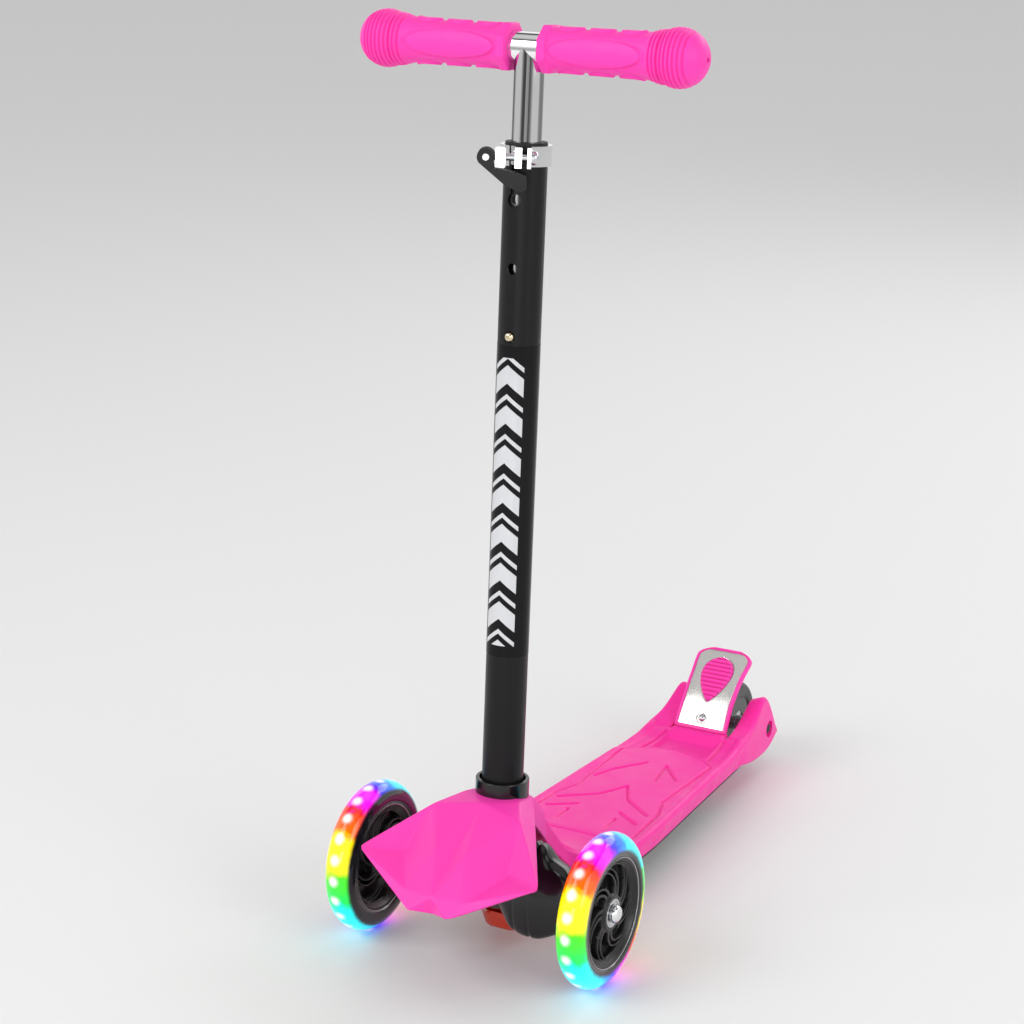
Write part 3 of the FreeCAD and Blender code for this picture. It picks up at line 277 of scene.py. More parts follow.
def light_tyre_material(name, inward):
    """Clear light-up tyre: a rainbow twice round, a row of soft lamp spots, and painted shade near the hub.

    inward is the sign of the wheel's own x on the side that faces the truck, where the painted shade reaches
    further out.
    """
    made, tree, shader = new_material(name)
    coord = node(tree, "TexCoord").outputs["Object"]
    across, back, up = parts_of(coord)
    turn = (back * -1.0).worked("ARCTAN2", up)
    waver = (noise(coord, 130, 2) - 0.5) * 0.10
    hue = ramp((turn / math.pi + waver).worked("FRACT"), RAINBOW)

    lamp_pitch = TAU * LAMP_CIRCLE * MM / LAMPS
    along = ((turn / TAU * LAMPS).worked("FRACT") - 0.5) * lamp_pitch
    glow = fade(length_of(along, across), LAMP_HALO * MM, LAMP_CORE * MM, 0.0, 0.85)
    lit = mixed(glow, hue, (1.0, 1.0, 1.0))

    # painted shade: the tyre turns dark towards the hub, and further out on the side facing the truck
    truck_side_shade_reach = (across * float(inward) - 2.0 * MM).worked("MAXIMUM", 0.0)
    radius = length_of(back, up) - truck_side_shade_reach * 0.75 + waver * (20 * MM)
    # wall is the share of the tyre that lies outside the painted shade
    wall = fade(radius, HUB_SHADE_INNER * MM, HUB_SHADE_OUTER * MM, 0.0, 1.0)
    shown = mixed(wall, (0.006, 0.006, 0.008), lit)
    feed(shown, shader.inputs["Base Color"])
    feed(shown, shader.inputs["Emission Color"])
    shader.inputs["Emission Strength"].default_value = 0.5
    shader.inputs["Roughness"].default_value = 0.12
    shader.inputs["Specular IOR Level"].default_value = 0.3
    shader.inputs["Coat Weight"].default_value = 0.6
    shader.inputs["Coat Roughness"].default_value = 0.04
    lift = node(tree, "Bump", Strength=0.12, Distance=0.0003)
    feed(noise(coord, 260, 2), lift.inputs["Height"])
    feed(lift.outputs[0], shader.inputs["Normal"])
    return made


# the label on the stem, in millimetres along the stem's axis from its foot
LABEL_LOW = 100.5
LABEL_HIGH = 338.5
LABEL_RADIUS = 16.02
LABEL_THICK = 0.16
LABEL_MARGIN = 9
CHEVRON_PITCH = 30
CHEVRON_HALF_WIDTH = 12.5


def label_material():
    """Glossy black sticker with silver chevrons; its UV map is in metres round and along the tube."""
    made = surface("stem_label", (0.008, 0.008, 0.009), 0.16, vary=0.1, bump=0.03, gloss=0.12)
    tree = made.node_tree
    round_tube, height, _ = parts_of(node(tree, "UVMap").outputs[0])
    offset = round_tube.worked("ABSOLUTE")
    phase = ((height + offset * 0.8) / (CHEVRON_PITCH * MM)).worked("FRACT")
    bold = phase.worked("LESS_THAN", 0.46)
    slim = phase.worked("COMPARE", 0.68, 0.06)
    pattern = bold.worked("MAXIMUM", slim)
    pattern *= offset.worked("LESS_THAN", CHEVRON_HALF_WIDTH * MM)
    pattern *= height.worked("GREATER_THAN", LABEL_MARGIN * MM)
    pattern *= height.worked("LESS_THAN", (LABEL_HIGH - LABEL_LOW - LABEL_MARGIN) * MM)
    over(made, pattern, (0.66, 0.67, 0.69))
    feed(pattern * 0.25, tree.nodes["Principled BSDF"].inputs["Metallic"])
    return made


PAD_RIB_START = 36.0
PAD_RIB_PITCH = 4.3


def foot_pad_material():
    """Soft pink pad with painted shade, a darker pink, in the grooves between the cross ribs."""
    made = surface("foot_pad", (1.0, 0.050, 0.45), 0.5, vary=0.03, bump=0.25, grain=1400, gloss=0.3)
    up_slope = parts_of(node(made.node_tree, "TexCoord").outputs["Object"])[1]
    wave = ((up_slope - PAD_RIB_START * MM) * (TAU / (PAD_RIB_PITCH * MM))).worked("COSINE")
    # painted shade: darker pink where the cosine is low, in the grooves between the ribs
    over(made, fade(wave, -0.45, -0.95, 0.0, 0.75), (0.50, 0.008, 0.15))
    return made


FOOT_PAD = foot_pad_material()
LIGHT_TYRES = {"left": light_tyre_material("light_tyre_left", -1),
               "right": light_tyre_material("light_tyre_right", 1)}
LABEL = label_material()


# ---- mesh helpers

def smooth(low, high, value):
    """Smooth step from 0 at low to 1 at high."""
    share = np.clip((value - low) / (high - low), 0, 1)
    return share * share * (3 - 2 * share)


def soften(values, sigma, axis=0):
    """Gaussian smoothing along an axis, with the ends held."""
    reach = int(math.ceil(3 * sigma))
    weights = np.exp(-0.5 * (np.arange(-reach, reach + 1) / sigma) ** 2)
    weights /= weights.sum()
    moved = np.moveaxis(values, axis, 0)
    first = 2 * moved[:1] - moved[1:reach + 1][::-1]
    last = 2 * moved[-1:] - moved[-reach - 1:-1][::-1]
    padded = np.concatenate([first, moved, last])
    result = sum(w * padded[k:k + len(moved)] for k, w in enumerate(weights))
    return np.moveaxis(result, 0, axis)


def grid_faces(rows, columns, round_rows, round_columns, start=0):
    """Four-sided faces of a grid of points, which may close on itself in either direction."""
    index = np.arange(rows * columns).reshape(rows, columns) + start
    low = index if round_rows else index[:-1]
    high = np.roll(index, -1, 0) if round_rows else index[1:]
    if round_columns:
        corners = (low, np.roll(low, -1, 1), np.roll(high, -1, 1), high)
    else:
        corners = (low[:, :-1], low[:, 1:], high[:, 1:], high[:, :-1])
    return np.stack(corners, -1).reshape(-1, 4).tolist()


class Shape:
    """Vertices and faces of one piece, gathered from several closed shells."""

    def __init__(self):
        self.points = []
        self.faces = []

    def grid(self, points, round_rows=False, round_columns=False, caps=False):
        """Adds a rows x columns x 3 grid of points in millimetres."""
        points = np.asarray(points, float)
        rows, columns = points.shape[:2]
        start = len(self.points)
        self.points += (points.reshape(-1, 3) * MM).tolist()
        self.faces += grid_faces(rows, columns, round_rows, round_columns, start)
        if caps:
            self.faces.append(list(range(start, start + columns)))
            self.faces.append(list(range(start + (rows - 1) * columns, start + rows * columns)))
        return self

    def bar(self, rows):
        """Adds a solid of closed cross-sections, capped at both ends."""
        return self.grid(rows, False, True, caps=True)

    def hoop(self, rows):
        """Adds a solid that closes on itself both ways."""
        return self.grid(rows, True, True)

    def piece(self, name, body, material, slot, replaces=(), at=None, sharp=None):
        """Makes the piece, puts it in its place and lets it ride on its body."""
        mesh = bpy.data.meshes.new(name)
        mesh.from_pydata(self.points, [], self.faces)
        work = bmesh.new()
        work.from_mesh(mesh)
        bmesh.ops.recalc_face_normals(work, faces=work.faces)
        work.to_mesh(mesh)
        work.free()
        return finished(bpy.data.objects.new(name, mesh), body, material, replaces, at, sharp)


def finished(piece, body, material, replaces=(), at=None, sharp=None):
    """Gives a new piece its material, shading, place and body."""
    mesh = piece.data
    mesh.materials.append(material)
    mesh.polygons.foreach_set("use_smooth", [True] * len(mesh.polygons))
    if sharp:
        mesh.set_sharp_from_angle(angle=math.radians(sharp))
    bpy.context.scene.collection.objects.link(piece)
    if at is not None:
        piece.matrix_world = at
    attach(piece, body)
    if replaces:
        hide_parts(*replaces)
    return piece


def turned_grid(profile, count, axis="X"):
    """A closed (along, radius) profile in millimetres turned about an axis."""
    profile = np.asarray(profile, float)
    angles = np.arange(count) * TAU / count
    along = np.repeat(profile[:, :1], count, 1)
    first = profile[:, 1:] * np.cos(angles)
    second = profile[:, 1:] * np.sin(angles)
    if axis == "X":
        return np.stack([along, first, second], -1)
    return np.stack([first, second, along], -1)


def near(paths, x, y):
    """Distance from each (x, y) to the nearest of several broken lines."""
    best = np.full(x.shape, 1e9)
    for path in paths:
        for (ax, ay), (bx, by) in zip(path[:-1], path[1:]):
            dx, dy = bx - ax, by - ay
            share = np.clip(((x - ax) * dx + (y - ay) * dy) / (dx * dx + dy * dy), 0, 1)
            best = np.minimum(best, np.hypot(x - ax - share * dx, y - ay - share * dy))
    return best


# ---- front wheels

def tyre_profile():
    """Section of a front tyre as (along the axle, radius): a round tread on short straight walls."""
    half_width, rise, shoulder = 11.95, 11.45, 48.5
    turn = np.radians(np.linspace(-90, 90, 33))
    tread = list(zip(half_width * np.sin(turn), shoulder + rise * np.cos(turn)))
    return [(-11.3, 43.2), (-11.8, 45.5)] + tread + [(11.8, 45.5), (11.3, 43.2), (4, 43.2), (-4, 43.2)]


def hub_grid():
    """Both faces of the hub as one closed ring of points: swirling double ribs over deep windows."""
    around = 448
    sector = TAU / 7
    window_inner, window_outer, rib_half, wall_width = 15.0, 36.6, 1.25, 1.1
    boss_edge, rim_start, lip_start = 14.3, 37.8, 42.6
    radii = np.concatenate([np.linspace(11.1, 14.2, 6), np.linspace(14.5, 37.6, 62), np.linspace(38, 43, 13)])
    r, t = np.meshgrid(radii, np.arange(around) * TAU / around, indexing="ij")
    reach = np.clip((r - 14) / 24, 0, 1)
    swirl = 0.12 * reach + 0.72 * reach ** 2
    phase = np.mod(t - swirl, sector)
    pair_gap = (4.4 + 3.4 * smooth(14, 36, r)) / r
    to_rib = np.minimum(np.minimum(phase, sector - phase), np.abs(phase - pair_gap)) * r
    # a soft smallest distance to the window's edges rounds its corners
    window = -np.log(np.exp(-(to_rib - rib_half) / 0.55) + np.exp(-(r - window_inner) / 1.1)
                     + np.exp(-(window_outer - r) / 0.9))
    floor_depth = np.where(phase < pair_gap, 3.4, 1.6)
    rib_top = 7.6 + 1.2 * (1 - smooth(14, 34, r)) - 0.5 * np.clip(to_rib / 4, 0, 1)
    face = floor_depth + (rib_top - floor_depth) * (1 - smooth(0.0, wall_width, window))
    face = np.where(r > rim_start, 8.2 + 2.6 * smooth(rim_start, 41.2, r), face)
    face = np.where(r < boss_edge, np.maximum(face, 10.2 - 1.1 * smooth(13.4, 14.4, r)), face)
    face = np.where(r > lip_start, 10.4, face)
    outer = np.stack([face, r * np.cos(t), r * np.sin(t)], -1)
    inner = outer[::-1] * (-1, 1, 1)
    return np.concatenate([outer, inner])


def ring(radius, thick, at_x, around=160, section=10):
    """A thin bead round the wheel."""
    turn = np.arange(around) * TAU / around
    small = np.arange(section) * TAU / section
    r = radius + thick * np.cos(small)[:, None] + 0 * turn
    x = at_x + thick * np.sin(small)[:, None] + 0 * turn
    return np.stack([x, r * np.cos(turn), r * np.sin(turn)], -1)


RIM_LINE_RADIUS, RIM_LINE_THICK, RIM_LINE_SIDE = 42.75, 0.42, 10.7
for side, turn_out in (("left", 0), ("right", math.pi)):
    body = "front_wheel_" + side
    centre = Matrix.Translation(middle("hub_" + side))
    outward = centre @ Matrix.Rotation(turn_out, 4, "Z")
    Shape().hoop(turned_grid(tyre_profile(), 224)).piece(
        "light_tyre_" + side, body, LIGHT_TYRES[side], "light_tyre", ["tyre_" + side], centre)
    Shape().hoop(hub_grid()).piece(
        "swirl_hub_" + side, body, BLACK_SATIN, "black_plastic", ["hub_" + side], outward)
    beads = Shape()
    for face in (1, -1):
        beads.hoop(ring(RIM_LINE_RADIUS, RIM_LINE_THICK, face * RIM_LINE_SIDE))
    beads.piece("rim_line_" + side, body, RIM_LINE, "steel", (), centre)


# ---- rear wheel

def rear_profile():
    """Section of the rear tyre as (along the axle, radius): a low round tread with two fine grooves."""
    half_width, rise, shoulder = 11.9, 7.4, 31.5
    groove_side, groove_width, groove_depth = 3.2, 0.5, 0.5
    tread = []
    for angle in np.radians(np.linspace(-90, 90, 29)):
        x = half_width * math.sin(angle)
        groove = groove_depth * math.exp(-((abs(x) - groove_side) / groove_width) ** 2)
        tread.append((x, shoulder + rise * math.cos(angle) ** 0.8 - groove))
    return [(-11.6, 24.2), (-11.9, 28)] + tread + [(11.9, 28), (11.6, 24.2)]


Shape().hoop(turned_grid(rear_profile(), 160)).piece(
    "rear_tyre_tread", "rear_wheel", REAR_RUBBER, "rear_tyre", ["rear_tyre"], REAR)


# ---- truck

ARM_STATIONS = (8, 26, 38, 50, 57, 70, 86)
ARM_TIP = 89
ARM_SECTIONS = np.array([
    # six (back, height) corners a station, from the lowest front one round
    ((8, 40), (16, 36), (33, 54), (12, 76), (2, 82), (-13, 64)),
    ((-10, 29), (14, 27), (26, 50), (20, 84), (4, 88), (-16, 60)),
    ((-12, 25.5), (14, 25.5), (24, 55), (19, 98), (2, 102), (-17, 62)),
    ((-11, 25), (13, 25), (22, 55), (17, 97), (0, 101), (-16, 62)),
    ((-10, 28), (12, 28), (20, 58), (16, 88), (-2, 90), (-15, 62)),
    ((-8, 35), (10, 35), (16, 60), (13, 84), (-4, 85), (-14, 62)),
    ((-7.5, 52), (7.5, 52), (9, 60), (7.5, 68), (-7.5, 68), (-9, 60)),
], float)
ARM_GROOVES = (31, 44)
ARM_GROOVE_WIDTH = 1.1
ARM_GROOVE_SHARE = 0.036


def rounded_loop(corners, steps, sigma):
    """A closed outline through straight edges between corners, smoothed so that the corners turn round."""
    shares = np.linspace(0, 1, steps + 1)[:-1, None]
    following = np.roll(corners, -1, 0)
    edge = np.concatenate([here + (there - here) * shares for here, there in zip(corners, following)])
    wrapped = soften(np.concatenate([edge, edge, edge]), sigma)
    return wrapped[len(edge):2 * len(edge)]


def arm_rows(sign):
    """One arm of the truck: rounded sections that swell and taper smoothly out to the axle's boss."""
    across = np.arange(ARM_STATIONS[0], ARM_TIP + 0.5, 1.0)
    sections = np.array([[np.interp(across, ARM_STATIONS, ARM_SECTIONS[:, corner, k]) for k in (0, 1)]
                         for corner in range(ARM_SECTIONS.shape[1])])
    sections = soften(sections, 2.5, 2)
    rows = []
    for n, x in enumerate(across):
        loop = rounded_loop(sections[:, :, n], 11, 2.6)
        groove = sum(ARM_GROOVE_SHARE * math.exp(-((x - at) / ARM_GROOVE_WIDTH) ** 2) for at in ARM_GROOVES)
        loop = loop.mean(0) + (loop - loop.mean(0)) * (1 - groove)
        rows.append([(sign * x, back, height) for back, height in loop])
    return rows


Shape().bar(arm_rows(1)).bar(arm_rows(-1)).piece(
    "truck_arms", "truck", BLACK, "black_plastic", ["truck"], DECK, sharp=60)

BARREL = [(-24, 6.1), (-24, 15.8), (-22.8, 17), (22.8, 17), (24, 15.8), (24, 6.1)]
Shape().hoop(turned_grid(BARREL, 64, "Z")).piece(
    "truck_barrel", "truck", BLACK, "black_plastic", (), PIVOT, sharp=40)

SKIRT_STATIONS = (
    # back, half width, lowest, highest
    (20, 6, 17, 26), (22, 11, 13, 25), (26, 16, 10, 23.5), (32, 21, 8.5, 22.5),
    (42, 22, 9, 22.5), (52, 19, 12, 24), (60, 14.8, 17, 26), (64, 12, 21, 25),
)
SKIRT_BEVEL = 2


def skirt_row(back, half, low, high):
    """An eight-cornered section of the cradle's skirt."""
    right = [(0.55, low), (0.8, low + SKIRT_BEVEL), (1, high - SKIRT_BEVEL), (0.8, high)]
    loop = right + [(-share, height) for share, height in reversed(right)]
    return [(half * share, back, height) for share, height in loop]


Shape().bar([skirt_row(*station) for station in SKIRT_STATIONS]).piece(
    "cradle_skirt", "deck", CRADLE, "cradle_plastic", (), DECK, sharp=25)


# ---- front cover

COVER_POINTS = {
    # name: (out to the side, back from the front axle, height)
    "top_front": (0, -6, 128), "top_side": (24, 10, 127), "crease_top": (37.5, -14, 122.6),
    "shoulder": (43, 0, 115), "corner": (77, -59, 95), "crease_low": (25.4, -78, 79.6),
    "nose": (16.5, -88.6, 68.6), "brow": (0, -83, 80), "notch": (0, -79.5, 65.5), "ridge": (22, 36, 122),
    "ridge_end": (22.9, 54, 103.2), "crown_end": (0, 54, 117.8), "crown": (0, 34, 127), "hem": (26, 29, 104),
    "hem_end": (25.0, 54, 79.6), "ridge_fold": (13, -53.6, 104.4), "valley_fold": (45, -45.8, 93.4),
}
COVER_FACETS = (
    ("top_front", "crease_top", "ridge_fold"), ("crease_top", "crease_low", "ridge_fold"),
    ("crease_low", "brow", "ridge_fold"), ("brow", "top_front", "ridge_fold"),
    ("brow", "crease_low", "nose"), ("brow", "nose", "notch"),
    ("crease_top", "corner", "valley_fold"), ("corner", "crease_low", "valley_fold"),
    ("crease_low", "crease_top", "valley_fold"), ("crease_low", "corner", "nose"),
    ("crease_top", "shoulder", "corner"),
    ("top_front", "top_side", "crease_top"), ("top_side", "shoulder", "crease_top"),
    ("top_side", "ridge", "shoulder"), ("ridge", "hem", "shoulder"),
    ("ridge", "ridge_end", "hem"), ("ridge_end", "hem_end", "hem"),
    ("top_front", "crown", "top_side"), ("crown", "ridge", "top_side"),
    ("crown", "crown_end", "ridge"), ("crown_end", "ridge_end", "ridge"),
)


def folded_skin(points, facets, steps, rounds):
    """Flat facets on both sides of the middle, cut fine and then smoothed so that the folds turn soft."""
    found = {}
    spots = []
    faces = []

    def spot(place):
        key = tuple(np.round(place, 3))
        if key not in found:
            found[key] = len(spots)
            spots.append(place)
        return found[key]

    for sign in (1, -1):
        for facet in facets:
            a, b, c = (np.array(points[name], float) * (sign, 1, 1) for name in facet)
            rows = [[spot(a + (b - a) * i / steps + (c - b) * j / steps) for j in range(i + 1)]
                    for i in range(steps + 1)]
            for i in range(steps):
                for j in range(i + 1):
                    faces.append((rows[i][j], rows[i + 1][j], rows[i + 1][j + 1]))
                    if j < i:
                        faces.append((rows[i][j], rows[i + 1][j + 1], rows[i][j + 1]))
    place = np.array(spots)
    triangles = np.array(faces)
    edges = np.concatenate([triangles[:, [0, 1]], triangles[:, [1, 2]], triangles[:, [2, 0]]])
    edges.sort(1)
    edges, uses = np.unique(edges, axis=0, return_counts=True)
    border_edges = edges[uses == 1]
    border = np.zeros(len(place), bool)
    border[border_edges] = True
    inner = edges[~(border[edges[:, 0]] & border[edges[:, 1]] & (uses > 1))]
    for _ in range(rounds):
        total = np.zeros_like(place)
        count = np.zeros(len(place))
        for pairs, only in ((inner, ~border), (border_edges, border)):
            for one, other in ((0, 1), (1, 0)):
                chosen = only[pairs[:, one]]
                np.add.at(total, pairs[chosen, one], place[pairs[chosen, other]])
                np.add.at(count, pairs[chosen, one], 1)
        mean = total / np.maximum(count, 1)[:, None]
        share = np.where(border, 0.35, 0.5)[:, None]
        place = np.where(count[:, None] > 0, place + share * (mean - place), place)
    return place, faces


COVER_WALL = 2.2
cover_points, cover_faces = folded_skin(COVER_POINTS, COVER_FACETS, 22, 3)
cover_shape = Shape()
cover_shape.points = (cover_points * MM).tolist()
cover_shape.faces = [list(face) for face in cover_faces]
cover = cover_shape.piece("folded_cover", "deck", PINK, "pink_plastic", ["front_cover"], DECK)
wall = cover.modifiers.new("wall", "SOLIDIFY")
wall.thickness = COVER_WALL * MM
wall.offset = -1


# ---- deck

DECK_STATIONS = np.array([
    # back, half width at the rim, half width at the hem, rim height, inner height, crown height, hem
    (48.5, 21.5, 24.0, 109.0, 114.0, 123.0, 85.0),
    (70, 23.5, 25.0, 82.0, 87.5, 97.0, 63.0),
    (91, 26.5, 27.5, 57.5, 63.5, 70.0, 44.0),
    (103, 38, 38, 50.5, 51.5, 56, 33),
    (118, 50, 48, 49, 48.5, 49, 30),
    (135, 57.5, 54, 49, 47.8, 48.4, 30),
    (155, 60, 56.5, 49, 47.8, 48.4, 30),
    (190, 60, 56.5, 49, 47.8, 48.4, 30),
    (275, 55.5, 52, 49, 47.8, 48.4, 30),
    (350, 51.5, 48.5, 49, 47.5, 48.0, 30),
    (372, 50.3, 47.5, 50.2, 47.5, 47.5, 30),
    (398, 48.5, 46, 53.5, 50, 50, 28.5),
])
DECK_START, NECK_END, DECK_END = 48.5, 130, 398
RIM_CORNER = 4.2
SKIN = 5.2
TREAD_START, TREAD_HALF, TREAD_END, TREAD_SAG = 146, 43.5, 350, 19
TREAD_EDGE = [(52, 146), (48, 211), (40, 236), (43.5, 331)]
MIRRORED_LINES = [
    [(41.5, 203), (13, 225.5), (0, 252)],
    [(20, 197), (41.5, 182)],
    [(22, 163), (22, 183)],
    [(33, 345), (28, 392)],
]
SINGLE_LINES = [
    [(-36, 261), (-28, 282), (-9, 310)],
    [(15, 276), (9, 312), (30, 286)],
]
LINE_DEPTH, LINE_WIDTH = 2.3, 1.25
BORDER_DEPTH, BORDER_WIDTH = 1.9, 1.15
POCKET_DEPTH = 5.4


def tread_end(x):
    """How far back the tread panel reaches: a flat arc across the deck."""
    return TREAD_END - TREAD_SAG * (x / TREAD_HALF) ** 2


def on_both_sides(paths):
    """Each broken line and its mirror image."""
    return [[(sign * x, y) for x, y in path] for sign in (1, -1) for path in paths]


def deck_relief(x, y):
    """Height added to the plain deck: grooves, raised tread panel, and the pocket in front of the brake."""
    arc = [(px, tread_end(px)) for px in np.linspace(-TREAD_HALF, TREAD_HALF, 25)]
    lines = near(on_both_sides(MIRRORED_LINES) + SINGLE_LINES, x, y)
    border = near(on_both_sides([TREAD_EDGE]) + [arc], x, y)
    grooves = LINE_DEPTH * np.exp(-(lines / LINE_WIDTH) ** 2)
    grooves += BORDER_DEPTH * np.exp(-(border / BORDER_WIDTH) ** 2)
    half = np.interp(y, [back for _, back in TREAD_EDGE], [side for side, _ in TREAD_EDGE])
    panel = smooth(-0.2, 1.4, half - np.abs(x)) * smooth(140, 152, y)
    panel *= (y < tread_end(x)) & (y > TREAD_START)
    past = y - tread_end(x)
    behind = smooth(0, 9, past)
    scoop = 1 - smooth(22, 27.5, np.abs(x))
    pocket = POCKET_DEPTH * scoop * smooth(6, 15, past) + 1.2 * behind * (1 - smooth(372, 392, y))
    flanks = (1 - scoop) * behind * (1 - smooth(30, 44, np.abs(x)))
    sill = 7.0 * scoop * smooth(383, 397.5, y)
    return 0.9 * panel + sill - grooves - pocket - flanks


def deck_side(half, hem_half, hem, rim_edge):
    """The right side band in (x, height), from the rim's rounded corner down to the hem and up inside."""
    lip = rim_edge - RIM_CORNER
    bend = np.radians(np.linspace(78, -4, 7))
    side = [(half - RIM_CORNER + RIM_CORNER * math.cos(a), lip + RIM_CORNER * math.sin(a)) for a in bend]
    low_x, low_z = side[-1]
    side += [(low_x + (hem_half - low_x) * s, low_z + (hem - low_z) * s) for s in (0.15, 0.4, 0.7, 0.93, 1)]
    side += [(hem_half - 0.6, hem - 0.5), (hem_half - 2.4, hem - 0.5), (hem_half - 3, hem)]
    inner, roof = half - 4, lip - 0.5
    side += [(hem_half - 3 + (inner - hem_half + 3) * s, hem + (roof - hem) * s) for s in (0.3, 0.7, 1)]
    return side


def deck_underneath(x, z, half, roof, hollow):
    """The right half of the underside in (x, height), from the side to the middle, below the top's z."""
    shares = np.linspace(1, 0, 9)[1:]
    mid = len(x) // 2
    under = np.interp(shares * (half - 4), x[mid:], soften(z, 5)[mid:]) - SKIN
    if hollow:
        heights = [min(low, roof + 6 * (1 - share)) for share, low in zip(shares, under)]
    else:
        heights = under - 1
    return [(share * (half - 4), height) for share, height in zip(shares, heights)]


def deck_rows():
    """The deck's cross-sections from the neck to the hinge, as closed loops of points."""
    count = 161
    back = np.concatenate([np.arange(DECK_START, NECK_END, 1.5), np.arange(NECK_END, DECK_END + 0.01, 0.8)])
    even = np.arange(DECK_START, DECK_END + 0.01, 0.5)
    tracks = [soften(np.interp(even, DECK_STATIONS[:, 0], DECK_STATIONS[:, k]), 9) for k in range(1, 7)]
    rim_half, hem_half, rim, inside, crown, hem = (np.interp(back, even, track) for track in tracks)
    x = np.linspace(-1, 1, count)[None, :] * (rim_half - RIM_CORNER)[:, None]
    y = np.repeat(back[:, None], count, 1)
    z = np.array([np.interp(np.abs(row), [0, edge - 9.5, edge - 6.5, edge], [top, inner, high, high])
                  for row, edge, top, inner, high in zip(x, rim_half, crown, inside, rim)])
    z = soften(z, 1.2, 1) + deck_relief(x, y)
    rows = []
    for k, at in enumerate(back):
        top = np.stack([x[k], y[k], z[k]], -1)
        rim_edge = max(z[k][-1], rim[k] - 1)
        side = deck_side(rim_half[k], hem_half[k], hem[k], rim_edge)
        side += deck_underneath(x[k], z[k], rim_half[k], rim_edge - RIM_CORNER - 0.5, at > 100)
        right = np.array([(px, at, pz) for px, pz in side])
        left = right[:-1][::-1] * (-1, 1, 1)
        rows.append(np.concatenate([top, right, left]))
    return np.array(rows)


CHEEK_BACK = (376, 384, 392, 400, 408, 418, 428, 440, 450, 456, 464, 474, 483, 489)
CHEEK_TOP = (47, 50.5, 52.6, 53.6, 54.8, 57.2, 61.5, 69, 74.6, 73.8, 65.5, 52, 39, 31)
CHEEK_TOP_INSIDE = (42, 44.5, 46.8, 49.4, 51.4, 54, 58, 65, 70.5, 70.6, 63, 49.5, 37, 30)
CHEEK_LOW = (33, 31, 28.8, 26.8, 24.8, 22.4, 20.4, 18.6, 17.6, 17.4, 18.4, 20.6, 23.6, 27.5)
CHEEK_OUT = (47.6, 48.8, 49.0, 48.7, 47.9, 46.8, 45.6, 44.2, 43.2, 42.9, 42.5, 42, 41.2, 40.6)
CHEEK_INNER = 28.15
CHEEK_CORNER = 3.6
INNER_CORNER_SHARE = 0.6


def cheek_rows(sign):
    """A rear fork cheek as rounded cross-sections that swell out of the deck's side band."""
    backs = np.concatenate([np.arange(376, 486, 1.5), [486, 487, 488, 488.7]])
    tracks = (soften(np.interp(backs, CHEEK_BACK, values), 2.2)
              for values in (CHEEK_TOP, CHEEK_TOP_INSIDE, CHEEK_LOW, CHEEK_OUT))
    rows = []
    for back, top, top_inside, low, out in zip(backs, *tracks):
        inner = CHEEK_INNER + 12 * (1 - smooth(386, 399, back))
        corner = min(CHEEK_CORNER, 0.9 * (out - inner) / 2, 0.9 * (top_inside - low) / 2)
        small = corner * INNER_CORNER_SHARE
        loop = []
        for x, z, size, start in (
            (out - corner, top - corner, corner, 90), (out - corner, low + corner, corner, 0),
            (inner + small, low + small, small, -90), (inner + small, top_inside - small, small, -180),
        ):
            for angle in np.radians(start - 15 * np.arange(7)):
                loop.append((sign * (x + size * math.cos(angle)), back, z + size * math.sin(angle)))
        rows.append(loop)
    return rows


Shape().bar(deck_rows()).piece(
    "moulded_deck", "deck", PINK_DECK, "pink_plastic", ["deck"], DECK)
cheeks = Shape().bar(cheek_rows(1)).bar(cheek_rows(-1))
cheeks = cheeks.piece("fork_cheeks", "deck", PINK_DECK, "pink_plastic", (), DECK, sharp=60)


def cutter(name, radius, low, high, at):
    """A hidden cylinder that a boolean takes away."""
    shape = Shape().bar(turned_grid([(low, radius), (high, radius)], 48))
    mesh = bpy.data.meshes.new(name)
    mesh.from_pydata(shape.points, [], shape.faces)
    tool = bpy.data.objects.new(name, mesh)
    tool.matrix_world = at
    return tool


def taken_away(piece, tools):
    """Cuts tools out of a piece, and leaves only the finished mesh."""
    for tool in tools:
        bpy.context.scene.collection.objects.link(tool)
        step = piece.modifiers.new("cut", "BOOLEAN")
        step.operation = "DIFFERENCE"
        step.solver = "EXACT"
        step.object = tool
    bpy.context.view_layer.update()
    depsgraph = bpy.context.evaluated_depsgraph_get()
    mesh = bpy.data.meshes.new_from_object(piece.evaluated_get(depsgraph))
    piece.modifiers.clear()
    piece.data = mesh
    for tool in tools:
        bpy.data.objects.remove(tool)
    return piece


AXLE_BORE = 4.1
WRENCH_HOLE = 8
taken_away(cheeks, [
    cutter("hole_a", WRENCH_HOLE, 37, 60, REAR),
    cutter("hole_b", WRENCH_HOLE, -60, -37, REAR),
    cutter("bore", AXLE_BORE, -50, 50, REAR),
])


def end_wall():
    """The wall between the deck's hollow and the rear wheel's bay, just inside the deck's skin."""
    right = [(25, 44), (40, 46), (46.5, 46), (45.5, 30.5)]
    outline = [(-x, z) for x, z in reversed(right)] + right
    return [[(x, back, z) for x, z in outline] for back in (392.5, 397.5)]


Shape().bar(end_wall()).piece(
    "deck_end_wall", "deck", PINK_DECK, "pink_plastic", (), DECK, sharp=30)


def underside_edge(sign):
    """Black edge of the stiffening plate, just below the deck's hem."""
    backs = np.arange(140, 391, 5.0)
    hem_half = soften(np.interp(backs, DECK_STATIONS[:, 0], DECK_STATIONS[:, 2]), 1.5)
    section = ((4.6, 27.1), (1.4, 27.1), (0.5, 28.0), (0.5, 29.6), (4.6, 29.6))
    return [[(sign * (half - inset), back, height) for inset, height in section]
            for back, half in zip(backs, hem_half)]


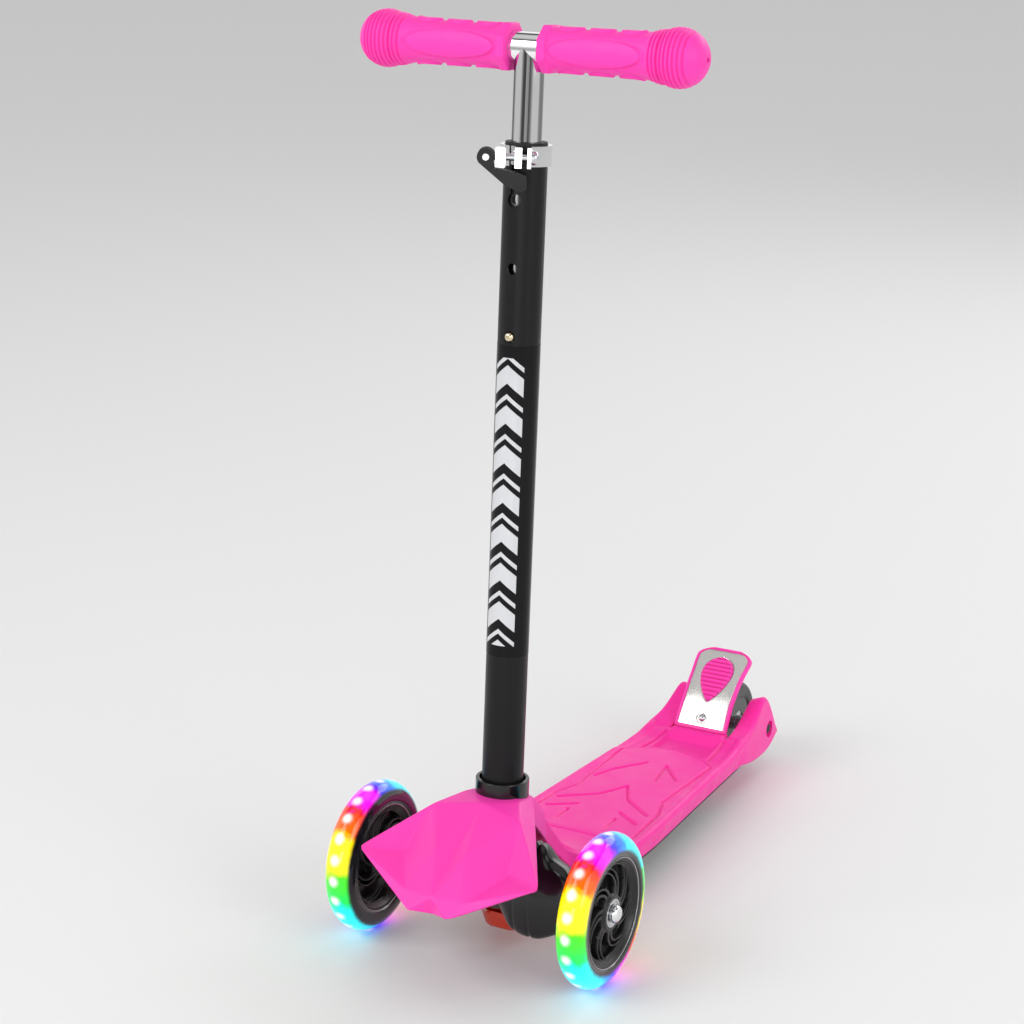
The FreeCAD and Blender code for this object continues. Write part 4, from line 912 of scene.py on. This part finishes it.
Shape().bar(underside_edge(1)).bar(underside_edge(-1)).piece(
    "underside_edge", "deck", BLACK_MATTE, "black_plastic", (), DECK, sharp=30)


# ---- brake

# All of the brake is drawn on its chord: x across, s up the slope from the hinge, and height off the chord.
BRAKE_LENGTH = 86.0
BRAKE_BOW = 26
PLATE_TOP = 6.35
RIVET_AT = 12.5
PAD_START, PAD_END, PAD_HALF = 28.2, 75.6, 14.6


def brake_half(s):
    """Half width of the brake along its slope: slightly waisted, flared above, with round top corners."""
    flare = np.interp(s, [0, 30, 55, 72, BRAKE_LENGTH], [25.3, 24.4, 25.0, 26.4, 27.2])
    end = np.clip((s - 70) / (BRAKE_LENGTH - 70), 0, 1)
    return flare * (1 - 0.42 * end ** 3.6)


def brake_bow(s):
    """How far the brake stands off its straight chord, bowed over the wheel."""
    share = s / BRAKE_LENGTH
    return BRAKE_BOW * share * (1 - share)


def slab(start, end, inset, low, top_of, count_s=96, count_x=61):
    """A closed slab on the brake's bowed surface; top_of(x, s, edge) gives its upper face above the chord."""
    along = np.linspace(start, end, count_s)
    tip = np.clip((end - along) / 9.0, 0, 1)
    half = (brake_half(along) - inset) * np.sqrt(1 - (1 - tip) ** 2 * 0.35)
    x = np.sin(np.linspace(-math.pi / 2, math.pi / 2, count_x))[None, :] * half[:, None]
    s = np.repeat(along[:, None], count_x, 1)
    edge = np.minimum(half[:, None] - np.abs(x), np.minimum(s - start + 9, end - s))
    bow = brake_bow(s)
    round_off = 0.9 * (1 - smooth(0, 1.1, edge))
    upper = np.stack([x, s, bow + top_of(x, s, edge) - round_off], -1)
    lower = np.stack([x, s, bow + low], -1)
    return np.concatenate([upper, lower[:, ::-1]], 1)


def pad_half(s):
    """Half width of the foot pad: pointed below and round above."""
    share = np.clip((s - PAD_START) / (PAD_END - PAD_START), 0, 1)
    widths = [0.0, 0.17, 0.31, 0.43, 0.54, 0.63, 0.715, 0.79, 0.855, 0.905, 0.95,
              0.98, 1.0, 1.0, 0.985, 0.95, 0.89, 0.79, 0.65, 0.46, 0.0]
    return PAD_HALF * np.interp(share, np.linspace(0, 1, len(widths)), widths)


def carrier_top(x, s, edge):
    """The pink carrier's upper face, with a raised lip round the plate."""
    return 5.0 + 1.3 * (1 - smooth(2.0, 2.6, edge))


def plate_top(x, s, edge):
    """The steel plate's upper face, sunk under the foot pad and round the rivet."""
    under_pad = smooth(-0.1, 0.7, pad_half(s) + 0.5 - np.abs(x)) * smooth(27.4, 28.6, s)
    under_pad *= 1 - smooth(PAD_END, PAD_END + 1, s)
    rivet_seat = np.exp(-((np.hypot(x, s - RIVET_AT) - 4.3) / 0.7) ** 2)
    return PLATE_TOP - 0.9 * under_pad - 0.6 * rivet_seat


HINGE_BARREL = [(-25.5, 4.2), (-24.8, 4.9), (24.8, 4.9), (25.5, 4.2)]
carrier = Shape().bar(slab(2.5, BRAKE_LENGTH, 0.0, 1.5, carrier_top))
carrier.bar(turned_grid(HINGE_BARREL, 40))
carrier.piece("brake_lever_moulding", "brake", PINK, "pink_plastic", ["brake_carrier"], BRAKE, sharp=50)
Shape().bar(slab(4.6, BRAKE_LENGTH - 2.9, 2.5, 4.6, plate_top, 110, 81)).piece(
    "brake_foot_plate", "brake", FOOT_PLATE, "polished_steel", ["brake_plate"], BRAKE, sharp=50)


def pad_rows():
    """The foot pad's cross-sections up the slope, with their rounded crown and the cross ribs."""
    count = 33
    along = np.concatenate([[28.3, 28.6, 29.1], np.linspace(29.7, 74.6, 116), [75.1, 75.4, 75.55]])
    across = np.sin(np.linspace(-math.pi / 2, math.pi / 2, count))
    rows = []
    for s in along:
        half = max(0.15, float(pad_half(s)))
        x = across * half
        edge = half - np.abs(x)
        wave = 0.5 + 0.5 * math.cos(TAU * (s - PAD_RIB_START) / PAD_RIB_PITCH)
        ribs = 1.9 * wave ** 0.7 * smooth(0.9, 2.0, edge) * (31.0 < s < 74.0)
        bow = float(brake_bow(s))
        upper = np.stack([x, np.full(count, s), bow + 6.5 + 0.7 * smooth(0, 1.2, edge) + ribs], -1)
        lower = np.stack([x, np.full(count, s), np.full(count, bow + 5.2)], -1)
        rows.append(np.concatenate([upper, lower[::-1]]))
    return rows


Shape().bar(pad_rows()).piece(
    "brake_foot_pad", "brake", FOOT_PAD, "soft_grip", ["brake_pad"], BRAKE)


def dome(radius, height, base, count=14):
    """Profile of a domed head standing on its base, as (along, radius) points."""
    turn = np.linspace(0, math.pi / 2 * 0.97, count)
    return [(base - 1.2, radius * 0.95)] + list(zip(base + height * np.sin(turn), radius * np.cos(turn)))


RIVET_RADIUS, RIVET_HEIGHT = 3.6, 2.6
rivet = dome(RIVET_RADIUS, RIVET_HEIGHT, PLATE_TOP + brake_bow(RIVET_AT))
rivet_place = BRAKE @ Matrix.Translation((0, RIVET_AT * MM, 0))
Shape().bar(turned_grid(rivet, 40, "Z")).piece(
    "brake_rivet_head", "brake", STEEL, "steel", ["brake_rivet"], rivet_place)


# ---- grips

GRIP_START = 13.0
FLANGE_END, FLANGE_FLAT = 20.4, 18.3
BALL_CENTRE, BALL_RADIUS = 118, 21.4
RING_COUNT, RING_FIRST, RING_PITCH, RING_WIDTH, RING_DEPTH = 9, 101.2, 3.3, 0.72, 1.7
OVAL_AT, OVAL_REACH, OVAL_HALF = 58.5, 36.5, 10.6
SMALL_PADS = (33.5, 58.0, 82.5)
GRIP_ROUND = 15.4
CROSSBAR_HEIGHT = 552.8


def grip_body(s):
    """The grip's plain radius: slim in the middle, growing to a ball at the end."""
    body = 15.1 + 0.5 * smooth(24, 60, s) - 0.36 * np.exp(-((s - 58) / 26) ** 2)
    body = body + 0.8 * (1 - smooth(20, 27, s)) + 1.6 * smooth(86, 100, s)
    ball = np.sqrt(np.maximum(0.02, BALL_RADIUS ** 2 - (s - BALL_CENTRE) ** 2))
    ball = np.where(s > BALL_CENTRE - 21.3, ball, 0)
    radius = np.maximum(body * (s < BALL_CENTRE), ball)
    neck = (s > 95) & (s < 107)
    return np.where(neck, np.maximum(radius, body + 2.2 * smooth(96, 106, s)), radius)


def turn_from(t, middle_turn):
    """Angle from a middle direction, between minus and plus half a turn."""
    return (t - middle_turn + math.pi) % TAU - math.pi


def grip_rows():
    """A grip along +X from its octagonal flange to the ball end, with raised pads and ringed ball."""
    around = 144
    along = np.concatenate([np.linspace(GRIP_START, 22, 19), np.arange(22.5, 96, 0.6),
                            np.arange(96, 138.6, 0.3), [138.8, 139.0, 139.2, 139.28]])
    turn = np.arange(around) * TAU / around
    s, t = np.meshgrid(along, turn, indexing="ij")
    radius = grip_body(s)
    for k in range(RING_COUNT):
        radius -= RING_DEPTH * np.exp(-((s - RING_FIRST - RING_PITCH * k) / RING_WIDTH) ** 2)

    wedge = (t + TAU / 16) % (TAU / 8) - TAU / 16
    octagon = FLANGE_FLAT * math.cos(TAU / 16) / np.cos(wedge)
    octagon -= 0.9 * (1 - smooth(GRIP_START, 13.9, s)) + 0.8 * smooth(19.6, FLANGE_END, s)
    radius = np.where(s < FLANGE_END, octagon, radius)

    oval = np.hypot((s - OVAL_AT) / OVAL_REACH, turn_from(t, math.pi / 2) * GRIP_ROUND / OVAL_HALF)
    radius += 1.35 * (1 - smooth(0.955, 1.005, oval)) * (1 - 0.32 * (1 - smooth(0.0, 0.93, oval)))
    radius -= 0.8 * np.exp(-((oval - 1.04) / 0.035) ** 2)
    for side_turn in (0.0, math.pi):
        for at in SMALL_PADS:
            pad = np.hypot((s - at) / 10.4, turn_from(t, side_turn) * GRIP_ROUND / 6.2)
            radius += 1.6 * (1 - smooth(0.90, 1.03, pad))
    finger_side = 1 - smooth(0.55, 0.75, np.abs(turn_from(t, -math.pi / 2)))
    finger_reach = smooth(26, 30, s) * (1 - smooth(84, 90, s))
    radius -= 0.6 * (0.5 + 0.5 * np.cos(s * TAU / 5.2)) ** 2 * finger_side * finger_reach
    radius = np.where(s > 139.1, 2.0, radius)

    outer = np.stack([s, radius * np.sin(t), radius * np.cos(t)], -1)
    bore = np.array([(139.2, 1.7), (132.0, 1.7), (131.9, 11.2), (GRIP_START, 11.2)])
    inner = np.stack([np.repeat(bore[:, :1], around, 1), bore[:, 1:] * np.sin(turn),
                      bore[:, 1:] * np.cos(turn)], -1)
    return np.concatenate([outer, inner])


for side, sign in (("left", 1), ("right", -1)):
    raked = (grip_rows() * (sign, -1, 1)) @ np.array(STEM.to_3x3()).T
    Shape().hoop(raked).piece(
        "ball_grip_" + side, "handlebar", PINK_SOFT, "soft_grip", ["grip_" + side],
        Matrix.Translation(STEM @ Vector((0, 0, CROSSBAR_HEIGHT * MM))), sharp=70)


# ---- stem label

def label_piece():
    """A sticker wrapped round the stem; its UV map runs in metres round the tube and up it."""
    heights = np.linspace(LABEL_LOW, LABEL_HIGH, 40)
    wall = [(height, LABEL_RADIUS + LABEL_THICK) for height in heights]
    wall += [(height, LABEL_RADIUS) for height in heights[::-1]]
    piece = Shape().hoop(turned_grid(wall, 128, "Z")).piece(
        "stem_label", "deck", LABEL, "black_paint", (), STEM, sharp=40)
    mesh = piece.data
    wrap = mesh.uv_layers.new(name="wrap")
    for polygon in mesh.polygons:
        spots = [mesh.vertices[index].co for index in polygon.vertices]
        angles = [math.atan2(spot.x, -spot.y) for spot in spots]
        if max(angles) - min(angles) > math.pi:
            angles = [angle + TAU if angle < 0 else angle for angle in angles]
        for loop, angle, spot in zip(polygon.loop_indices, angles, spots):
            wrap.data[loop].uv = (angle * LABEL_RADIUS * MM, spot.z - LABEL_LOW * MM)


label_piece()


# ---- kept CAD nodes

KEPT = [
    # material, bevel in millimetres, nodes
    (STEEL, 0, "deck_screws pivot_pin stem_bolt clamp_bolt clamp_nut rear_spacers brake_pin brake_spring"),
    (STEEL, 0, "rear_bearings snap_spring"),
    (STEEL, 0.3, "pivot_nut lever_pin"),
    (BLACK, 0, "stem_collar"),
    (BLACK, 0.5, "rear_hub"),
    (BLACK, 0.6, "steering_head"),
    (BLACK_MATTE, 0, "stem_bush post_sleeve"),
    (BLACK_MATTE, 0.3, "rear_axle"),
    (BLACK_MATTE, 0.4, "deck_underside"),
    (BLACK_MATTE, 0.8, "clamp_lever"),
    (CHROME, 0.3, "clamp_band"),
    (CHROME, 0.4, "clamp_saddle"),
    (PAINTED_REFLECTION_CHROME, 0, "t_bar"),
    (CRADLE, 0.9, "pivot_cradle"),
    (BUFFER, 0, "lean_buffers"),
    (PAINT, 0, "stem_tube"),
    (BRASS, 0, "snap_button"),
]
for side in ("left", "right"):
    KEPT += [
        (CHROME, 0, "axle_bolt_" + side),
        (STEEL, 0, "generator_magnet_" + side),
        (STEEL, 0, "wheel_bearings_" + side),
        (COPPER, 0, "generator_coil_" + side),
        (STRIP, 0, "light_ring_" + side),
    ]
SHARP_ANGLE = math.radians(32)
BEVEL_ANGLE = math.radians(28)


def dressed(part, material, bevel):
    """Gives a kept CAD node its material, smooth shading between its edges, and a small bevel."""
    mesh = part.data
    mesh.materials.clear()
    mesh.materials.append(material)
    mesh.polygons.foreach_set("use_smooth", [True] * len(mesh.polygons))
    mesh.set_sharp_from_angle(angle=SHARP_ANGLE)
    if bevel:
        edge = part.modifiers.new("edge", "BEVEL")
        edge.width = bevel * MM
        edge.segments = 2
        edge.limit_method = "ANGLE"
        edge.angle_limit = BEVEL_ANGLE


for material, bevel, names in KEPT:
    for name in names.split():
        dressed(NODES[name], material, bevel)


# ---- floor, light and camera

FLOOR_REACH = 40
FLOOR_FADE = 12
FLOOR_DROP = 0.0005
# painted light fall-off: the floor's tone by distance from the object
FLOOR_PAINTED_FALLOFF = ((0.0, 0.86), (0.08, 0.86), (0.3, 0.84), (1.0, 0.78))


def floor():
    """A wide pale floor with a painted fall-off of light: a little darker far from the object, just below the
    tyres.
    """
    corners = [(x * FLOOR_REACH, y * FLOOR_REACH, 0) for x, y in ((-1, -1), (1, -1), (1, 1), (-1, 1))]
    mesh = bpy.data.meshes.new("floor")
    mesh.from_pydata(corners, [], [(0, 1, 2, 3)])
    plane = bpy.data.objects.new("floor", mesh)
    bpy.context.scene.collection.objects.link(plane)
    plane.location.z = -FLOOR_DROP
    made, tree, shader = new_material("floor")
    distance = node(tree, "VectorMath", operation="LENGTH")
    feed(node(tree, "TexCoord").outputs["Object"], distance.inputs[0])
    # painted light fall-off: brighter near the object, darker far away
    feed(ramp(Value(distance.outputs["Value"]) / FLOOR_FADE, FLOOR_PAINTED_FALLOFF), shader.inputs["Base Color"])
    shader.inputs["Roughness"].default_value = 0.6
    mesh.materials.append(made)


def area_light(name, location, target, width, height, power):
    """A soft rectangular lamp that faces its target."""
    light = bpy.data.lights.new(name, "AREA")
    light.shape = "RECTANGLE"
    light.size = width
    light.size_y = height
    light.energy = power
    lamp = bpy.data.objects.new(name, light)
    bpy.context.scene.collection.objects.link(lamp)
    lamp.location = location
    lamp.rotation_euler = (Vector(target) - Vector(location)).to_track_quat("-Z", "Y").to_euler()


SKY_TONES = (
    # (0 straight down to 1 straight up, tone); the dark band overhead shows as a soft line in the chrome
    (0.0, 0.5), (0.49, 0.5), (0.52, 0.9), (0.79, 1.0), (0.83, 0.10), (0.89, 0.07), (0.93, 0.6), (1.0, 0.7))
SKY_STRENGTH = 1.05


def studio():
    """A pale sky with a dark band overhead, and four soft lamps."""
    world = bpy.data.worlds.new("studio")
    bpy.context.scene.world = world
    world.use_nodes = True
    tree = world.node_tree
    background = tree.nodes["Background"]
    up = parts_of(node(tree, "TexCoord").outputs["Generated"])[2]
    feed(ramp(up * 0.5 + 0.5, SKY_TONES), background.inputs["Color"])
    background.inputs["Strength"].default_value = SKY_STRENGTH
    area_light("key", (-1.3, -2.2, 2.1), (0, 0, 0.3), 1.6, 1.6, 30)
    area_light("fill", (2.6, -1.0, 1.5), (0, 0, 0.25), 1.2, 2.0, 18)
    area_light("back", (0.6, 2.6, 2.0), (0, 0.1, 0.3), 2.2, 1.2, 20)
    area_light("front", (0.7, -2.9, 0.7), (0, 0, 0.35), 1.2, 0.7, 8)


CAMERA_PLACE = (0.8404, -1.74075, 0.8648)
CAMERA_TILT = 73.7877
CAMERA_ROLL = -0.9317
CAMERA_PAN = 28.4710
CAMERA_LENS = 86.96
CAMERA_SENSOR = 36


def front_camera():
    """The camera of the main view, in front of the scooter on its left and a little above the bar."""
    lens = bpy.data.cameras.new("camera")
    lens.sensor_width = CAMERA_SENSOR
    lens.lens = CAMERA_LENS
    lens.clip_end = 200
    camera = bpy.data.objects.new("camera", lens)
    camera.location = CAMERA_PLACE
    camera.rotation_euler = [math.radians(angle) for angle in (CAMERA_TILT, CAMERA_ROLL, CAMERA_PAN)]
    bpy.context.scene.collection.objects.link(camera)
    bpy.context.scene.camera = camera


floor()
studio()
front_camera()
bpy.context.scene.view_settings.view_transform = "Standard"
